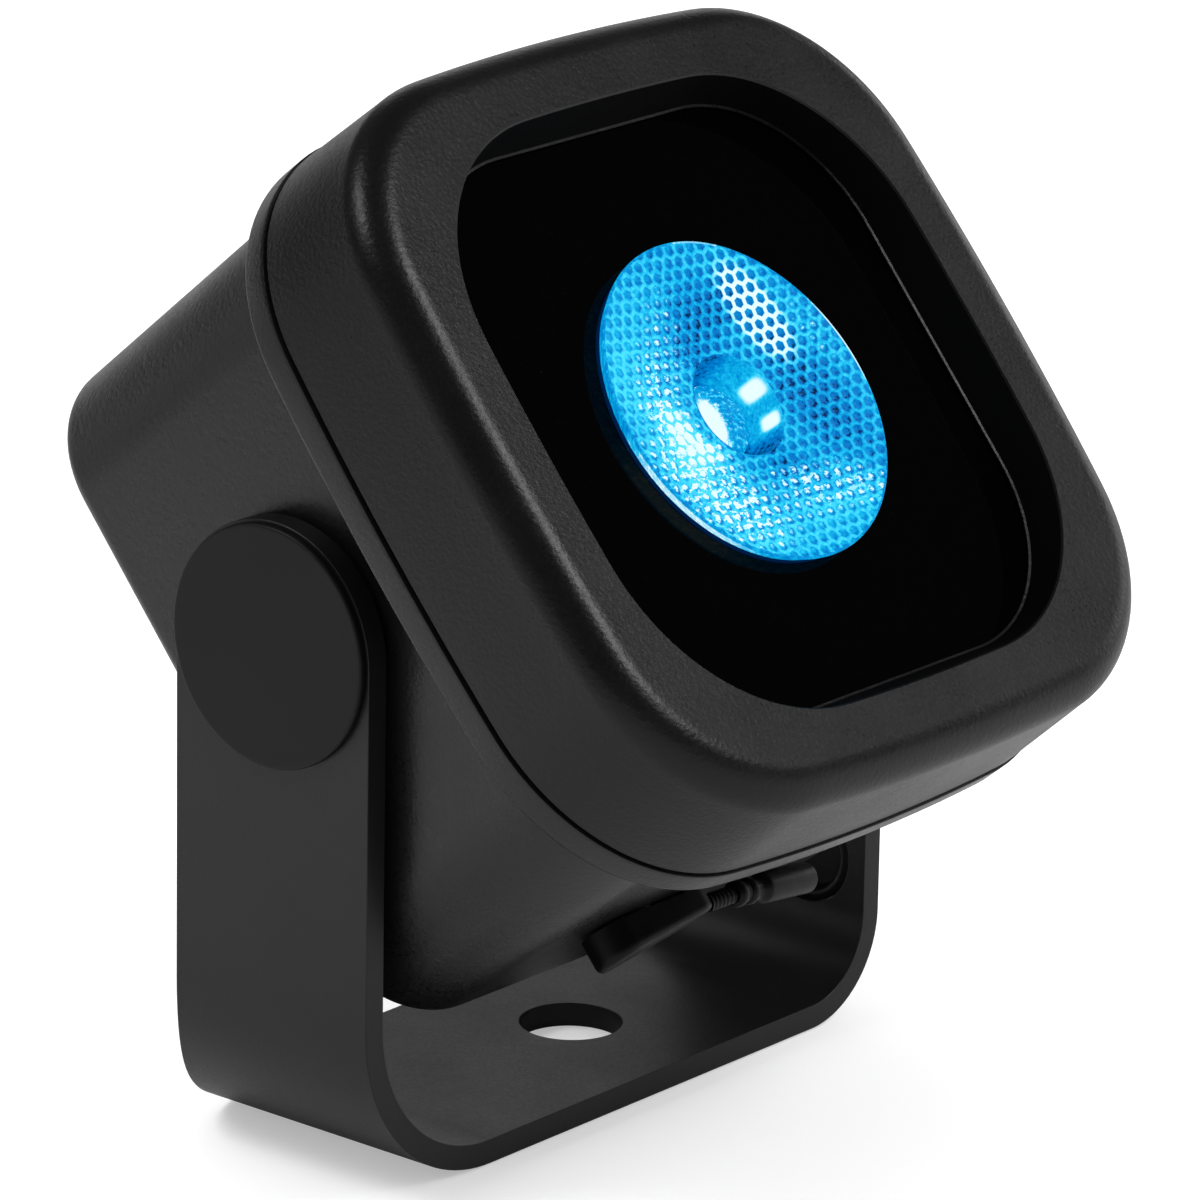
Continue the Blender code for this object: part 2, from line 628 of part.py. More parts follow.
# ---------------------------------------------------------------- lead outlet
def gland_loop(inset, drop):
    """Stadium outline in plan at a share of the sloping depth below the housing."""
    start = head_point(*GLAND_START, UNDERSIDE - GAP)
    end = head_point(*GLAND_END, UNDERSIDE - GAP)
    length = (end - start).length
    along = (end - start).normalized()
    across = Vector((0, 0, 1)).cross(along)
    turns = [pi * k / 7 for k in range(8)]
    wide = [half - inset for half in GLAND_HALF]
    plan = [(inset + wide[0] * (1 - sin(a)), wide[0] * cos(a)) for a in turns]
    plan += [(length - inset - wide[1] * (1 - sin(a)), -wide[1] * cos(a)) for a in turns]
    loop = []
    for s, t in plan:
        depth = GLAND_DEPTH[0] + (GLAND_DEPTH[1] - GLAND_DEPTH[0]) * s / length
        loop.append(start + along * s + across * t - Vector((0, 0, drop * depth)))
    return loop


def make_lead_outlet(mats, head):
    """Tapered outlet with its spigot and nut, the moulded neck and the in-line socket."""
    loops = [gland_loop(0, 0), gland_loop(0, 0.78), gland_loop(GLAND_EDGE * 0.3, 0.92),
             gland_loop(GLAND_EDGE, 1)]
    outlet = add_object("lead_outlet", loft(loops), mats["rubber"], head)
    spigot = cylinder_between(head_point(*LEAD_HOLE, UNDERSIDE - 3 * GAP),
                              head_point(*LEAD_HOLE, UNDERSIDE + SPIGOT_TOP), SPIGOT_RADIUS)
    boolean(outlet, cutter("spigot", spigot, head), 'UNION')

    low = UNDERSIDE + BOX_WALL + 2 * GAP
    bore = SPIGOT_RADIUS + GAP
    nut = [(bore, low), (NUT_RADIUS, low), (NUT_RADIUS, low + NUT_HEIGHT), (bore, low + NUT_HEIGHT)]
    loops = [[head_point(LEAD_HOLE[0] + p.x, LEAD_HOLE[1] + p.y, up) for p in circle(r, 24)]
             for r, up in nut]
    add_object("outlet_nut", loft(loops, closed=True), mats["steel"], head)

    neck = cylinder_between(head_point(*NECK_START), head_point(*SOCKET_START), NECK_RADIUS, 16)
    add_object("lead_neck", neck, mats["rubber"], head)

    run = (head_point(*SOCKET_END) - head_point(*SOCKET_START)).normalized()
    begin = head_point(*SOCKET_START) + run * GAP
    length = SOCKET_PROFILE[-1][0]
    stretch = (head_point(*SOCKET_END) - begin).length / length
    profile = [(s * stretch, r) for s, r in SOCKET_PROFILE]
    length *= stretch
    socket = add_object("inline_socket", along_axis(begin, run, profile, 24), mats["rubber"], head)
    mouth = along_axis(begin, run, [(length - MOUTH_DEPTH, MOUTH_RADIUS),
                                    (length + MOUTH_DEPTH, MOUTH_RADIUS)], 16)
    boolean(socket, cutter("cut_mouth", mouth, head))
    contact = [(length - MOUTH_DEPTH + GAP, CONTACT_RADIUS), (length - 4 * GAP, CONTACT_RADIUS)]
    add_object("socket_contact", along_axis(begin, run, contact, 16), mats["steel"], head)


# ---------------------------------------------------------------- assembly
def build():
    clear_scene()
    mats = {
        "bracket": material("bracket_paint", (0.035, 0.035, 0.037), 0.45),
        "cap": material("cap_paint", (0.022, 0.022, 0.023), 0.55),
        "housing": material("housing_paint", (0.030, 0.030, 0.031), 0.5),
        "cover": material("cover_paint", (0.030, 0.030, 0.031), 0.5),
        "window": material("window_black", (0.003, 0.003, 0.003), 0.08),
        "lens": material("lens_acrylic", (0.20, 0.65, 1.0), 0.10, 0.0, (0.0, 0.45, 1.0)),
        "rubber": material("black_rubber", (0.015, 0.015, 0.015), 0.7),
        "steel": material("zinc_steel", (0.55, 0.55, 0.56), 0.35, 1.0),
        "brass": material("brass", (0.75, 0.55, 0.25), 0.35, 1.0),
        "aluminium": material("plain_aluminium", (0.70, 0.71, 0.72), 0.4, 1.0),
        "holder": material("holder_plastic", (0.02, 0.02, 0.02), 0.5),
        "emitter": material("emitter_resin", (0.85, 0.80, 0.35), 0.3),
        "white_board": material("white_board", (0.80, 0.80, 0.78), 0.5),
        "green_board": material("green_board", (0.02, 0.18, 0.07), 0.45),
        "can": material("capacitor_can", (0.10, 0.12, 0.16), 0.35),
        "copper": material("copper_wire", (0.72, 0.36, 0.16), 0.35, 1.0),
    }
    head = bpy.data.objects.new("tilt_axis", None)
    bpy.context.scene.collection.objects.link(head)
    head.location = (0, 0, PIVOT_HEIGHT)
    head.rotation_euler = (-radians(TILT_DEG), 0, 0)

    make_bracket(mats["bracket"])
    make_pivots(mats, head)
    make_housing(mats["housing"], head)
    make_cover(mats["cover"], head)
    make_cover_screws(mats["steel"], head)
    make_gasket(mats["rubber"], head)
    make_window(mats["window"], head)
    make_lens(mats["lens"], head)
    make_lens_holder(mats["holder"], head)
    make_led(mats, head)
    make_driver(mats, head)
    make_lead_outlet(mats, head)


build()
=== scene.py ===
"""Looks of the small LED par light: fine surfaces, finishes, studio and camera.

Metres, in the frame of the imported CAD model.  Most pieces are on the lamp
head, which is tilted about the pivot axis, so they are described in the head's
own terms: x to the right, forward along the optical axis, up across it.
"""
import json
from math import ceil, cos, degrees, exp, floor, pi, radians, sin, sqrt

import bmesh
import bpy
from mathutils import Matrix, Vector
from mathutils.geometry import delaunay_2d_cdt


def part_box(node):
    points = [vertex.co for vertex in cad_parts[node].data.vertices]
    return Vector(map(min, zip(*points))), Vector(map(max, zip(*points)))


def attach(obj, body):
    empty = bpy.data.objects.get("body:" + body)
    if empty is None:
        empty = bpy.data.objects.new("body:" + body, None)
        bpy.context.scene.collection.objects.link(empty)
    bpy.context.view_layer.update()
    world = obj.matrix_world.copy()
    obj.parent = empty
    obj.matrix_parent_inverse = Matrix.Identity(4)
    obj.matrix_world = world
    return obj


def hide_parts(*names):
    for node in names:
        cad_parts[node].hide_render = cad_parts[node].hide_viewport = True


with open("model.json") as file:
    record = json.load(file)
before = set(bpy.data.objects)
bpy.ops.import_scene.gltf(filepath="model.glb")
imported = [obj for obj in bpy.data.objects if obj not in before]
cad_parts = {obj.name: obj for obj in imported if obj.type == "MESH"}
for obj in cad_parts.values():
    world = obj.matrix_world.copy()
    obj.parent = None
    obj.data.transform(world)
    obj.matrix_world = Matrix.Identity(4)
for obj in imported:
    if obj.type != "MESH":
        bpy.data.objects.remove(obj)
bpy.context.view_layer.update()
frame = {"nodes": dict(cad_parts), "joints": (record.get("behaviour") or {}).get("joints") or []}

MM = 0.001
GAP = 0.3 * MM

# ------------------------------------------------ sizes, read from the frame or chosen
TILT = radians(39.8)
PIVOT = Vector(frame["joints"][0]["pos_m"])
HEAD = Matrix.Translation(PIVOT) @ Matrix.Rotation(-TILT, 4, 'X')
TO_HEAD = HEAD.inverted()


def head_point(x, forward, up):
    return HEAD @ Vector((x, -forward, up))


def head_box(node):
    """Lowest and highest (x, forward, up) of a CAD node in the head's terms."""
    points = [TO_HEAD @ v.co for v in frame["nodes"][node].data.vertices]
    spans = [[p.x for p in points], [-p.y for p in points], [p.z for p in points]]
    return Vector([min(s) for s in spans]), Vector([max(s) for s in spans])


cover_low, cover_high = head_box("front_cover")
housing_low, housing_high = head_box("rear_housing")
window_low, window_high = head_box("window_panel")
lens_low, lens_high = head_box("collimator_lens")
screw_low, screw_high = head_box("cover_screw_2")

FACE = cover_high.y                    # flat front of the cover
SEAM = cover_low.y                     # its rear edge
COVER_REAR_HALF = cover_high.x
COVER_DRAFT = 0.5 * MM
COVER_HALF = COVER_REAR_HALF - COVER_DRAFT
COVER_CORNER = 24.9 * MM
COVER_LEAN = radians(3.6)              # each side bows through this angle either way
COVER_WALL = 3.2 * MM
COVER = (COVER_HALF, COVER_CORNER, COVER_LEAN)
COVER_REAR = (COVER_REAR_HALF, COVER_CORNER + COVER_DRAFT, COVER_LEAN)
FRONT_FILLET = 4.4 * MM
OPENING_HALF = 38.4 * MM
OPENING_CORNER = 24.6 * MM
OPENING_LEAN = radians(2.0)
OPENING_EDGE = 0.225 * MM              # steep chamfer round the opening
OPENING_FALL = 0.9 * OPENING_EDGE
LAND = 0.30 * MM                       # narrow ledge between the recess's slope and the window
RECESS_HALF = 36.2 * MM
RECESS_CORNER = 19.9 * MM
GASKET_STEP = 1.4 * MM
GASKET_DEPTH = 1.1 * MM

FLANGE_HALF = housing_high.x
FLANGE_CORNER = 25.9 * MM
FLANGE_FRONT = housing_high.y
FLANGE_REAR = 20.3 * MM
FLANGE_EDGE = 0.6 * MM
FLANGE_FRONT_EDGE = 0.15 * MM
FLANGE = (FLANGE_HALF, FLANGE_CORNER, COVER_LEAN)
BACK = housing_low.y
BOX_HALF = 43.1 * MM
BOX_CORNER = 14.5 * MM
BOX_DRAFT = 0.6 * MM
BOX_WALL = 2.6 * MM
BOX = (BOX_HALF, BOX_CORNER, 0)
BOX_FRONT = (BOX_HALF + BOX_DRAFT, BOX_CORNER + BOX_DRAFT, 0)
BACK_FILLET = 2.2 * MM
UNDERSIDE = -43.4 * MM

SCREW_REACH = (screw_low.x + screw_high.x) / 2
SCREW_HEAD = (screw_high.x - screw_low.x) / 2
SCREW_REAR = screw_low.y
SCREW_TIP = screw_high.y
POST_RADIUS = 4.0 * MM
PILOT_RADIUS = 1.8 * MM
BOLT_BORE = 2.8 * MM
BOSS_RADIUS, BOSS_INNER = 8 * MM, 34 * MM
INSERT_BORE, INSERT_INNER, INSERT_OUTER = 4.9 * MM, 31 * MM, 41.5 * MM
SPIGOT_RADIUS = 3.4 * MM
LEAD_AT = (-13.0 * MM, -4.5 * MM)      # (x, forward) of its way out through the underside

WINDOW_FRONT = window_high.y
WINDOW_REAR = window_low.y
WINDOW_HALF = window_high.x
WINDOW_CORNER = 21.8 * MM
LENS_FRONT = lens_high.y
LENS_REAR = lens_low.y
LENS_RADIUS = lens_high.x
LENS_RIM = 3.9 * MM
LENS_FOOT = LENS_RADIUS - 0.8 * MM     # the rim narrows towards the window
LENS_DISH = 1.6 * MM                   # the front dishes in by this much at the well
WELL_RADIUS = 6.4 * MM
WELL_DEPTH = 5.2 * MM
DOME_RADIUS = 4.8 * MM                 # raised dome on the well's floor
DOME_RISE = 1.3 * MM

bracket_low, bracket_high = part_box("yoke_bracket")
cap_low, cap_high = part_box("pivot_cap_right")
SHEET = 3 * MM
LEFT_BEND, RIGHT_BEND = 22.2 * MM, 12.5 * MM
ARM_HOLE_AT = (-5.7 * MM, 18.5 * MM)   # (y, z)
ARM_HOLE_RADIUS = 6.5 * MM
BASE_HOLE_AT = (10.8 * MM, 3.6 * MM)   # (x, y)
BASE_HOLE_RADIUS = 6.3 * MM
COUNTERSINK = 5.3 * MM                 # radius at the arm's face
ARM_OUT = bracket_high.x
ARM_FRONT = bracket_low.y
BASE_REAR = bracket_high.y
CAP_RADIUS = (cap_high.z - cap_low.z) / 2


# ---------------------------------------------------------------- outlines and skins
def soft_square(half, corner, lean=0.0, side_steps=20, corner_steps=24):
    """Closed outline of a square with round corners; each side is an arc tangent to them."""
    spread = cos(lean) - sin(lean)
    points = []
    if lean:
        big = (half - corner * spread) / (1 - spread)
        reach = (big - corner) * sin(lean)
    else:
        reach = half - corner
    for quarter in range(4):
        turn = Matrix.Rotation(quarter * pi / 2, 2)
        for i in range(side_steps):
            t = -1 + 2 * i / side_steps
            if lean:
                side = Vector((half - big + big * cos(t * lean), big * sin(t * lean)))
            else:
                side = Vector((half, t * reach))
            points.append(turn @ side)
        for i in range(corner_steps):
            a = lean + i / corner_steps * (pi / 2 - 2 * lean)
            points.append(turn @ Vector((reach + corner * cos(a), reach + corner * sin(a))))
    return points


def circle(radius, steps, centre=(0, 0)):
    return [Vector((centre[0] + radius * cos(2 * pi * i / steps),
                    centre[1] + radius * sin(2 * pi * i / steps))) for i in range(steps)]


def station(outline, forward):
    return [head_point(p.x, forward, p.y) for p in outline]


def arc(centre, radius, start, end, steps):
    """(across, along) points of an arc, angles in degrees."""
    turns = [radians(start + (end - start) * i / steps) for i in range(steps + 1)]
    return [(centre[0] + radius * cos(a), centre[1] + radius * sin(a)) for a in turns]


def grown(square, by, forward):
    """Ring from a (half, corner, lean) square made larger all round."""
    half, corner, lean = square
    return half + by, corner + by, lean, forward


def ring_loops(rings):
    """Outlines in space of (half, corner, lean, forward) rings."""
    return [station(soft_square(half, corner, lean), f) for half, corner, lean, f in rings]


def loft(loops, closed=False, dark_rows=()):
    """Skin a row of equal loops; faces that start at a dark row take the second finish."""
    bm = bmesh.new()
    rows = [[bm.verts.new(p) for p in loop] for loop in loops]
    pairs = list(zip(rows, rows[1:]))
    if closed:
        pairs.append((rows[-1], rows[0]))
    for n, (low, high) in enumerate(pairs):
        for i, start in enumerate(low):
            j = (i + 1) % len(low)
            face = bm.faces.new((start, low[j], high[j], high[i]))
            face.material_index = int(n in dark_rows)
    if not closed:
        bm.faces.new(rows[0][::-1])
        bm.faces.new(rows[-1])
    return bm


def turned(profile, steps, centre=(0, 0)):
    """Turned about an axis parallel to the head's, from (radius, forward) pairs."""
    return loft([station(circle(r, steps, centre), f) for r, f in profile])


def turned_across(profile, steps, side):
    """Turned about the pivot axis, from (radius, distance out) pairs."""
    return loft([[PIVOT + Vector((side * out, p.x, p.y)) for p in circle(r, steps)]
                 for r, out in profile])


def pins(radius, low, high, steps):
    """Round bars at the four screw places, between two places along the head's axis."""
    return [turned([(radius, low), (radius, high)], steps, at) for at in screw_places()]


def cross_pins(radius, low, high, steps=32):
    """Round bars on the pivot axis, one each side, between two distances out."""
    return [turned_across([(radius, low), (radius, high)], steps, side) for side in (-1, 1)]


def along(start, end, profile, steps):
    """Turned about the line from start to end, from (distance, radius) pairs."""
    turn = (end - start).to_track_quat('Z', 'Y').to_matrix()
    return loft([[start + turn @ Vector((p.x, p.y, s)) for p in circle(r, steps)]
                 for s, r in profile])


def tube(start, end, radius, steps=32):
    return along(start, end, [(0, radius), ((end - start).length, radius)], steps)


def new_object(name, data):
    thing = bpy.data.objects.new(name, data)
    bpy.context.scene.collection.objects.link(thing)
    return thing


def add_piece(name, bm, finish, sharp=30.0, second=None):
    """An object in the row frame, facing outwards, smooth except at its sharp edges."""
    bmesh.ops.recalc_face_normals(bm, faces=bm.faces)
    if bm.calc_volume(signed=True) < 0:
        bmesh.ops.reverse_faces(bm, faces=bm.faces)
    mesh = bpy.data.meshes.new(name)
    bm.to_mesh(mesh)
    bm.free()
    for used in (finish, second):
        if used:
            mesh.materials.append(used)
    mesh.shade_smooth()
    mesh.set_sharp_from_angle(angle=radians(sharp))
    return new_object(name, mesh)


def shape_with(piece, tools, operation, sharp=30.0):
    """Cut or join solids (bmeshes) into a piece and keep the result as its mesh."""
    helpers = []
    for n, bm in enumerate(tools):
        helper = add_piece(f"tool_{n}", bm, None)
        mod = piece.modifiers.new(helper.name, 'BOOLEAN')
        mod.operation = operation
        mod.object = helper
        helpers.append(helper)
    keep_modified(piece, sharp)
    for helper in helpers:
        bpy.data.objects.remove(helper)


def keep_modified(piece, sharp=30.0):
    """Apply a piece's modifiers."""
    bpy.context.view_layer.update()
    evaluated = piece.evaluated_get(bpy.context.evaluated_depsgraph_get())
    mesh = bpy.data.meshes.new_from_object(evaluated)
    piece.modifiers.clear()
    mesh.shade_smooth()
    mesh.set_sharp_from_angle(angle=radians(sharp))
    piece.data = mesh


def place(piece, body, slot, *nodes):
    """Attach a piece to the body it rides on and hide the CAD nodes it stands for; the slot
    argument is not used.
    """
    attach(piece, body)
    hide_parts(*nodes)


# ---------------------------------------------------------------- finishes
class Finish:
    """A Principled material whose patterns read the mesh's own coordinates."""

    def __init__(self, name, **constants):
        self.material = bpy.data.materials.new(name)
        self.material.use_nodes = True
        self.tree = self.material.node_tree
        self.shader = self.tree.nodes["Principled BSDF"]
        self.where = self.tree.nodes.new("ShaderNodeTexCoord").outputs["Object"]
        for socket, value in constants.items():
            self.shader.inputs[socket.replace("_", " ")].default_value = value

    def node(self, kind, inputs, **settings):
        node = self.tree.nodes.new(kind)
        for key, value in settings.items():
            setattr(node, key, value)
        for key, value in inputs.items():
            if isinstance(value, bpy.types.NodeSocket):
                self.tree.links.new(value, node.inputs[key])
            else:
                node.inputs[key].default_value = value
        return node

    def link(self, value, socket):
        self.tree.links.new(value, self.shader.inputs[socket])

    def noise(self, size, detail=3.0, roughness=0.55, where=None):
        """Soft noise with features about size metres across."""
        inputs = {"Vector": where or self.where, "Scale": 1 / size, "Detail": detail,
                  "Roughness": roughness}
        return self.node("ShaderNodeTexNoise", inputs).outputs[0]

    def cells(self, size):
        """Distance to the nearest of scattered points about size metres apart."""
        inputs = {"Vector": self.where, "Scale": 1 / size}
        return self.node("ShaderNodeTexVoronoi", inputs).outputs["Distance"]

    def stretched(self, x, y, z):
        """The coordinates scaled along each axis, for grain that runs one way."""
        return self.node("ShaderNodeMapping", {"Vector": self.where, "Scale": (x, y, z)}).outputs[0]

    def attribute(self, name):
        return self.node("ShaderNodeAttribute", {}, attribute_name=name).outputs["Fac"]

    def span(self, value, low, high, to_low=0.0, to_high=1.0, smooth=False):
        inputs = {"Value": value, "From Min": low, "From Max": high, "To Min": to_low,
                  "To Max": to_high}
        kind = 'SMOOTHSTEP' if smooth else 'LINEAR'
        return self.node("ShaderNodeMapRange", inputs, interpolation_type=kind).outputs[0]

    def sum(self, first, second, operation='ADD'):
        return self.node("ShaderNodeMath", {0: first, 1: second}, operation=operation).outputs[0]

    def ramp(self, value, stops):
        node = self.node("ShaderNodeValToRGB", {"Fac": value})
        marks = node.color_ramp.elements
        while len(marks) < len(stops):
            marks.new(0.5)
        for mark, (at, color) in zip(marks, stops):
            mark.position = at
            mark.color = (*color, 1.0)
        return node.outputs["Color"]

    def blend(self, amount, first, second):
        inputs = {0: amount, 6: first, 7: second}
        return self.node("ShaderNodeMix", inputs, data_type='RGBA').outputs[2]

    def bumps(self, *layers):
        """Stack of (height, distance) bumps, the finest last."""
        normal = None
        for height, distance in layers:
            inputs = {"Height": height, "Distance": distance, "Strength": 1.0}
            if normal:
                inputs["Normal"] = normal
            normal = self.node("ShaderNodeBump", inputs).outputs["Normal"]
        self.link(normal, "Normal")


def gray(level):
    return (level, level, level * 1.02)


def textured_black(name, level, shine, roughness, grain, grain_depth, wave, wave_depth):
    """Black moulded or sprayed surface: fine grain over slow waviness, uneven tone and gloss."""
    f = Finish(name, Specular_IOR_Level=shine)
    cloud = f.noise(14 * MM, 4)
    speck = f.noise(grain, 2, 0.7)
    tone = f.sum(f.span(cloud, 0.3, 0.7, 0.25, 0.6), f.span(speck, 0.3, 0.7, -0.18, 0.18))
    f.link(f.ramp(tone, [(0.0, gray(level * 0.72)), (0.45, gray(level)),
                         (1.0, gray(level * 1.45))]), "Base Color")
    gloss = f.sum(f.span(cloud, 0.3, 0.7, roughness - 0.03, roughness + 0.03),
                  f.span(speck, 0.3, 0.7, -0.05, 0.05))
    f.link(gloss, "Roughness")
    f.bumps((f.noise(wave, 2), wave_depth), (f.cells(grain * 1.6), grain_depth * 0.6),
            (speck, grain_depth))
    return f.material


def black_glass():
    f = Finish("window_black", Specular_IOR_Level=0.05)
    smudge = f.noise(11 * MM, 5, 0.65)
    dust = f.noise(0.35 * MM, 1)
    tone = f.ramp(f.span(dust, 0.70, 0.82), [(0.0, gray(0.0006)), (1.0, gray(0.003))])
    f.link(tone, "Base Color")
    f.link(f.sum(f.span(smudge, 0.4, 0.75, 0.035, 0.075), f.span(dust, 0.66, 0.8, 0.0, 0.12)),
           "Roughness")
    f.bumps((f.noise(30 * MM, 1), 0.02 * MM))
    return f.material


def moulded_rubber(name, level, shine, roughness):
    f = Finish(name, Specular_IOR_Level=shine)
    pores = f.noise(0.30 * MM, 3, 0.7)
    bloom = f.noise(2.5 * MM, 4)
    f.link(f.ramp(bloom, [(0.3, gray(level * 0.7)), (0.55, gray(level)), (0.8, gray(level * 1.9))]),
           "Base Color")
    f.link(f.sum(f.span(bloom, 0.3, 0.7, roughness - 0.06, roughness + 0.06),
                 f.span(pores, 0.3, 0.7, -0.06, 0.06)), "Roughness")
    f.bumps((bloom, 0.03 * MM), (pores, 0.02 * MM))
    return f.material


def metal(name, dark, light, roughness, grain=(1, 1, 1)):
    """Bare metal with drawn or turned grain and slight tarnish."""
    f = Finish(name, Metallic=1.0)
    streak = f.noise(0.5 * MM, 3, 0.6, f.stretched(*grain))
    stain = f.noise(4 * MM, 4)
    f.link(f.ramp(f.sum(f.span(streak, 0.3, 0.7, 0, 0.5), f.span(stain, 0.3, 0.7, 0, 0.5)),
                  [(0.0, dark), (1.0, light)]), "Base Color")
    f.link(f.span(streak, 0.25, 0.75, roughness - 0.08, roughness + 0.1), "Roughness")
    f.bumps((stain, 0.01 * MM), (streak, 0.006 * MM))
    return f.material


def coated(name, dark, light, roughness, size, depth):
    """Paint, lacquer or resin with soft mottling."""
    f = Finish(name)
    mottle = f.noise(size, 4, 0.6)
    fine = f.noise(size / 6, 2)
    f.link(f.ramp(mottle, [(0.35, dark), (0.65, light)]), "Base Color")
    f.link(f.span(fine, 0.3, 0.7, roughness - 0.06, roughness + 0.08), "Roughness")
    f.bumps((mottle, depth), (fine, depth / 3))
    return f.material


def circuit_board(name, resist, trace):
    """Solder resist over copper tracks that show as paler stripes."""
    f = Finish(name, Coat_Weight=0.3)
    tracks = f.node("ShaderNodeTexWave", {"Vector": f.where, "Scale": 160.0, "Distortion": 6.0,
                                          "Detail": 2.0}).outputs[1]
    f.link(f.ramp(f.span(tracks, 0.6, 0.7), [(0.0, resist), (1.0, trace)]), "Base Color")
    f.link(f.span(f.noise(1 * MM), 0.3, 0.7, 0.34, 0.46), "Roughness")
    f.bumps((tracks, 0.02 * MM))
    return f.material


def lit_lens():
    """Blue light in a clear lens, with painted highlights, glints, glare and painted shade from the
    mesh's own paint layers.
    """
    f = Finish("lens_acrylic", Roughness=0.32, Specular_IOR_Level=0.02, Emission_Strength=1.0)
    cell, painted_glints, painted_cell_shade = f.attribute("cell"), f.attribute("painted_glints"), f.attribute("painted_cell_shade")
    ridge = f.span(cell, 0.56, 0.86, smooth=True)
    grit = f.noise(0.45 * MM, 4, 0.75)
    flecks = f.noise(0.9 * MM, 2, 0.6, f.stretched(1.0, 2.2, 1.0))
    # Painted highlight along the ridges of a net of cells.
    net = f.sum(f.attribute("net"), ridge, 'MULTIPLY')
    # Painted cell shade: each cell lighter on one side, as if lit from one way.
    lit_side = f.sum(cell, f.sum(painted_cell_shade, -0.42, 'MULTIPLY'))
    # Painted glints: small white dots on the lit side of each cell.
    painted_glint_dots = f.sum(painted_glints, f.span(f.sum(lit_side, f.span(grit, 0.3, 0.7, -0.36, 0.36)), 0.50, 0.10,
                               smooth=True), 'MULTIPLY')
    # Painted sparkle of glints, and a painted glare pool.
    sparkle = f.sum(f.span(flecks, 0.52, 0.62, smooth=True), painted_glints, 'MULTIPLY')
    pool = f.sum(f.attribute("glare"), f.span(ridge, 0.2, 1, 1.0, 0.42), 'MULTIPLY')
    light = f.sum(f.sum(net, painted_glint_dots), f.sum(pool, f.sum(sparkle, 0.60, 'MULTIPLY')))
    # Painted shade that makes the cells look raised.
    painted_relief_shade = f.sum(f.span(ridge, 0, 1, -0.22, 0.20), f.sum(painted_cell_shade, 0.30, 'MULTIPLY'))
    rough = f.sum(f.span(grit, 0.3, 0.7, -0.20, 0.20), f.span(flecks, 0.35, 0.65, -0.10, 0.10))
    shade = f.sum(f.sum(f.attribute("tone"), painted_relief_shade), f.sum(rough, f.sum(light, 0.6, 'MULTIPLY')))
    blue = f.ramp(shade, [(0.0, (0.0, 0.01, 0.05)), (0.06, (0.0, 0.12, 0.45)),
                          (0.33, (0.0, 0.23, 0.63)), (0.65, (0.006, 0.49, 0.85)),
                          (1.0, (0.07, 0.76, 1.0))])
    # Painted highlights turn the blue emission white.
    f.link(f.blend(f.span(light, 0.40, 1.05, smooth=True), blue, (0.82, 0.99, 1.0, 1.0)),
           "Emission Color")
    f.link(f.ramp(shade, [(0.0, (0.0, 0.01, 0.03)), (1.0, (0.0, 0.03, 0.06))]), "Base Color")
    f.bumps((grit, 0.01 * MM))
    return f.material


FINISHES = {material.name.split(".")[0]: material for material in (
    textured_black("bracket_paint", 0.0050, 0.29, 0.42, 0.35 * MM, 0.012 * MM,
                   3.0 * MM, 0.010 * MM),
    textured_black("cap_paint", 0.0036, 0.18, 0.50, 0.25 * MM, 0.006 * MM, 4.0 * MM, 0.004 * MM),
    textured_black("housing_paint", 0.0036, 0.35, 0.31, 0.45 * MM, 0.028 * MM,
                   5.0 * MM, 0.020 * MM),
    textured_black("cover_paint", 0.0036, 0.26, 0.33, 0.42 * MM, 0.034 * MM, 5.0 * MM, 0.012 * MM),
    # Darker, duller copy of the cover's paint for the opening's slope: painted shade in the recess.
    textured_black("recess_black_painted_shade", 0.0012, 0.06, 0.60, 0.40 * MM, 0.010 * MM, 5.0 * MM, 0.010 * MM),
    black_glass(),
    lit_lens(),
    moulded_rubber("black_rubber", 0.0022, 0.16, 0.42),
    metal("zinc_steel", (0.38, 0.38, 0.39), (0.66, 0.66, 0.67), 0.32, (1, 6, 1)),
    metal("brass", (0.55, 0.36, 0.14), (0.80, 0.60, 0.30), 0.34),
    metal("plain_aluminium", (0.56, 0.57, 0.58), (0.78, 0.79, 0.80), 0.38, (1, 1, 8)),
    moulded_rubber("holder_plastic", 0.016, 0.50, 0.45),
    coated("emitter_resin", (0.75, 0.62, 0.12), (0.90, 0.84, 0.40), 0.25, 1.5 * MM, 0.02 * MM),
    coated("white_board", (0.70, 0.70, 0.67), (0.84, 0.84, 0.82), 0.45, 4 * MM, 0.01 * MM),
    circuit_board("green_board", (0.008, 0.10, 0.035), (0.02, 0.22, 0.09)),
    coated("capacitor_can", (0.05, 0.06, 0.09), (0.11, 0.13, 0.17), 0.3, 3 * MM, 0.01 * MM),
    metal("copper_wire", (0.52, 0.22, 0.08), (0.80, 0.42, 0.22), 0.3, (1, 9, 1)),
)}


def dress_frame():
    """Give every CAD node the finish of its own slot."""
    for node in frame["nodes"].values():
        for slot in node.material_slots:
            slot.material = FINISHES[slot.material.name.split(".")[0]]


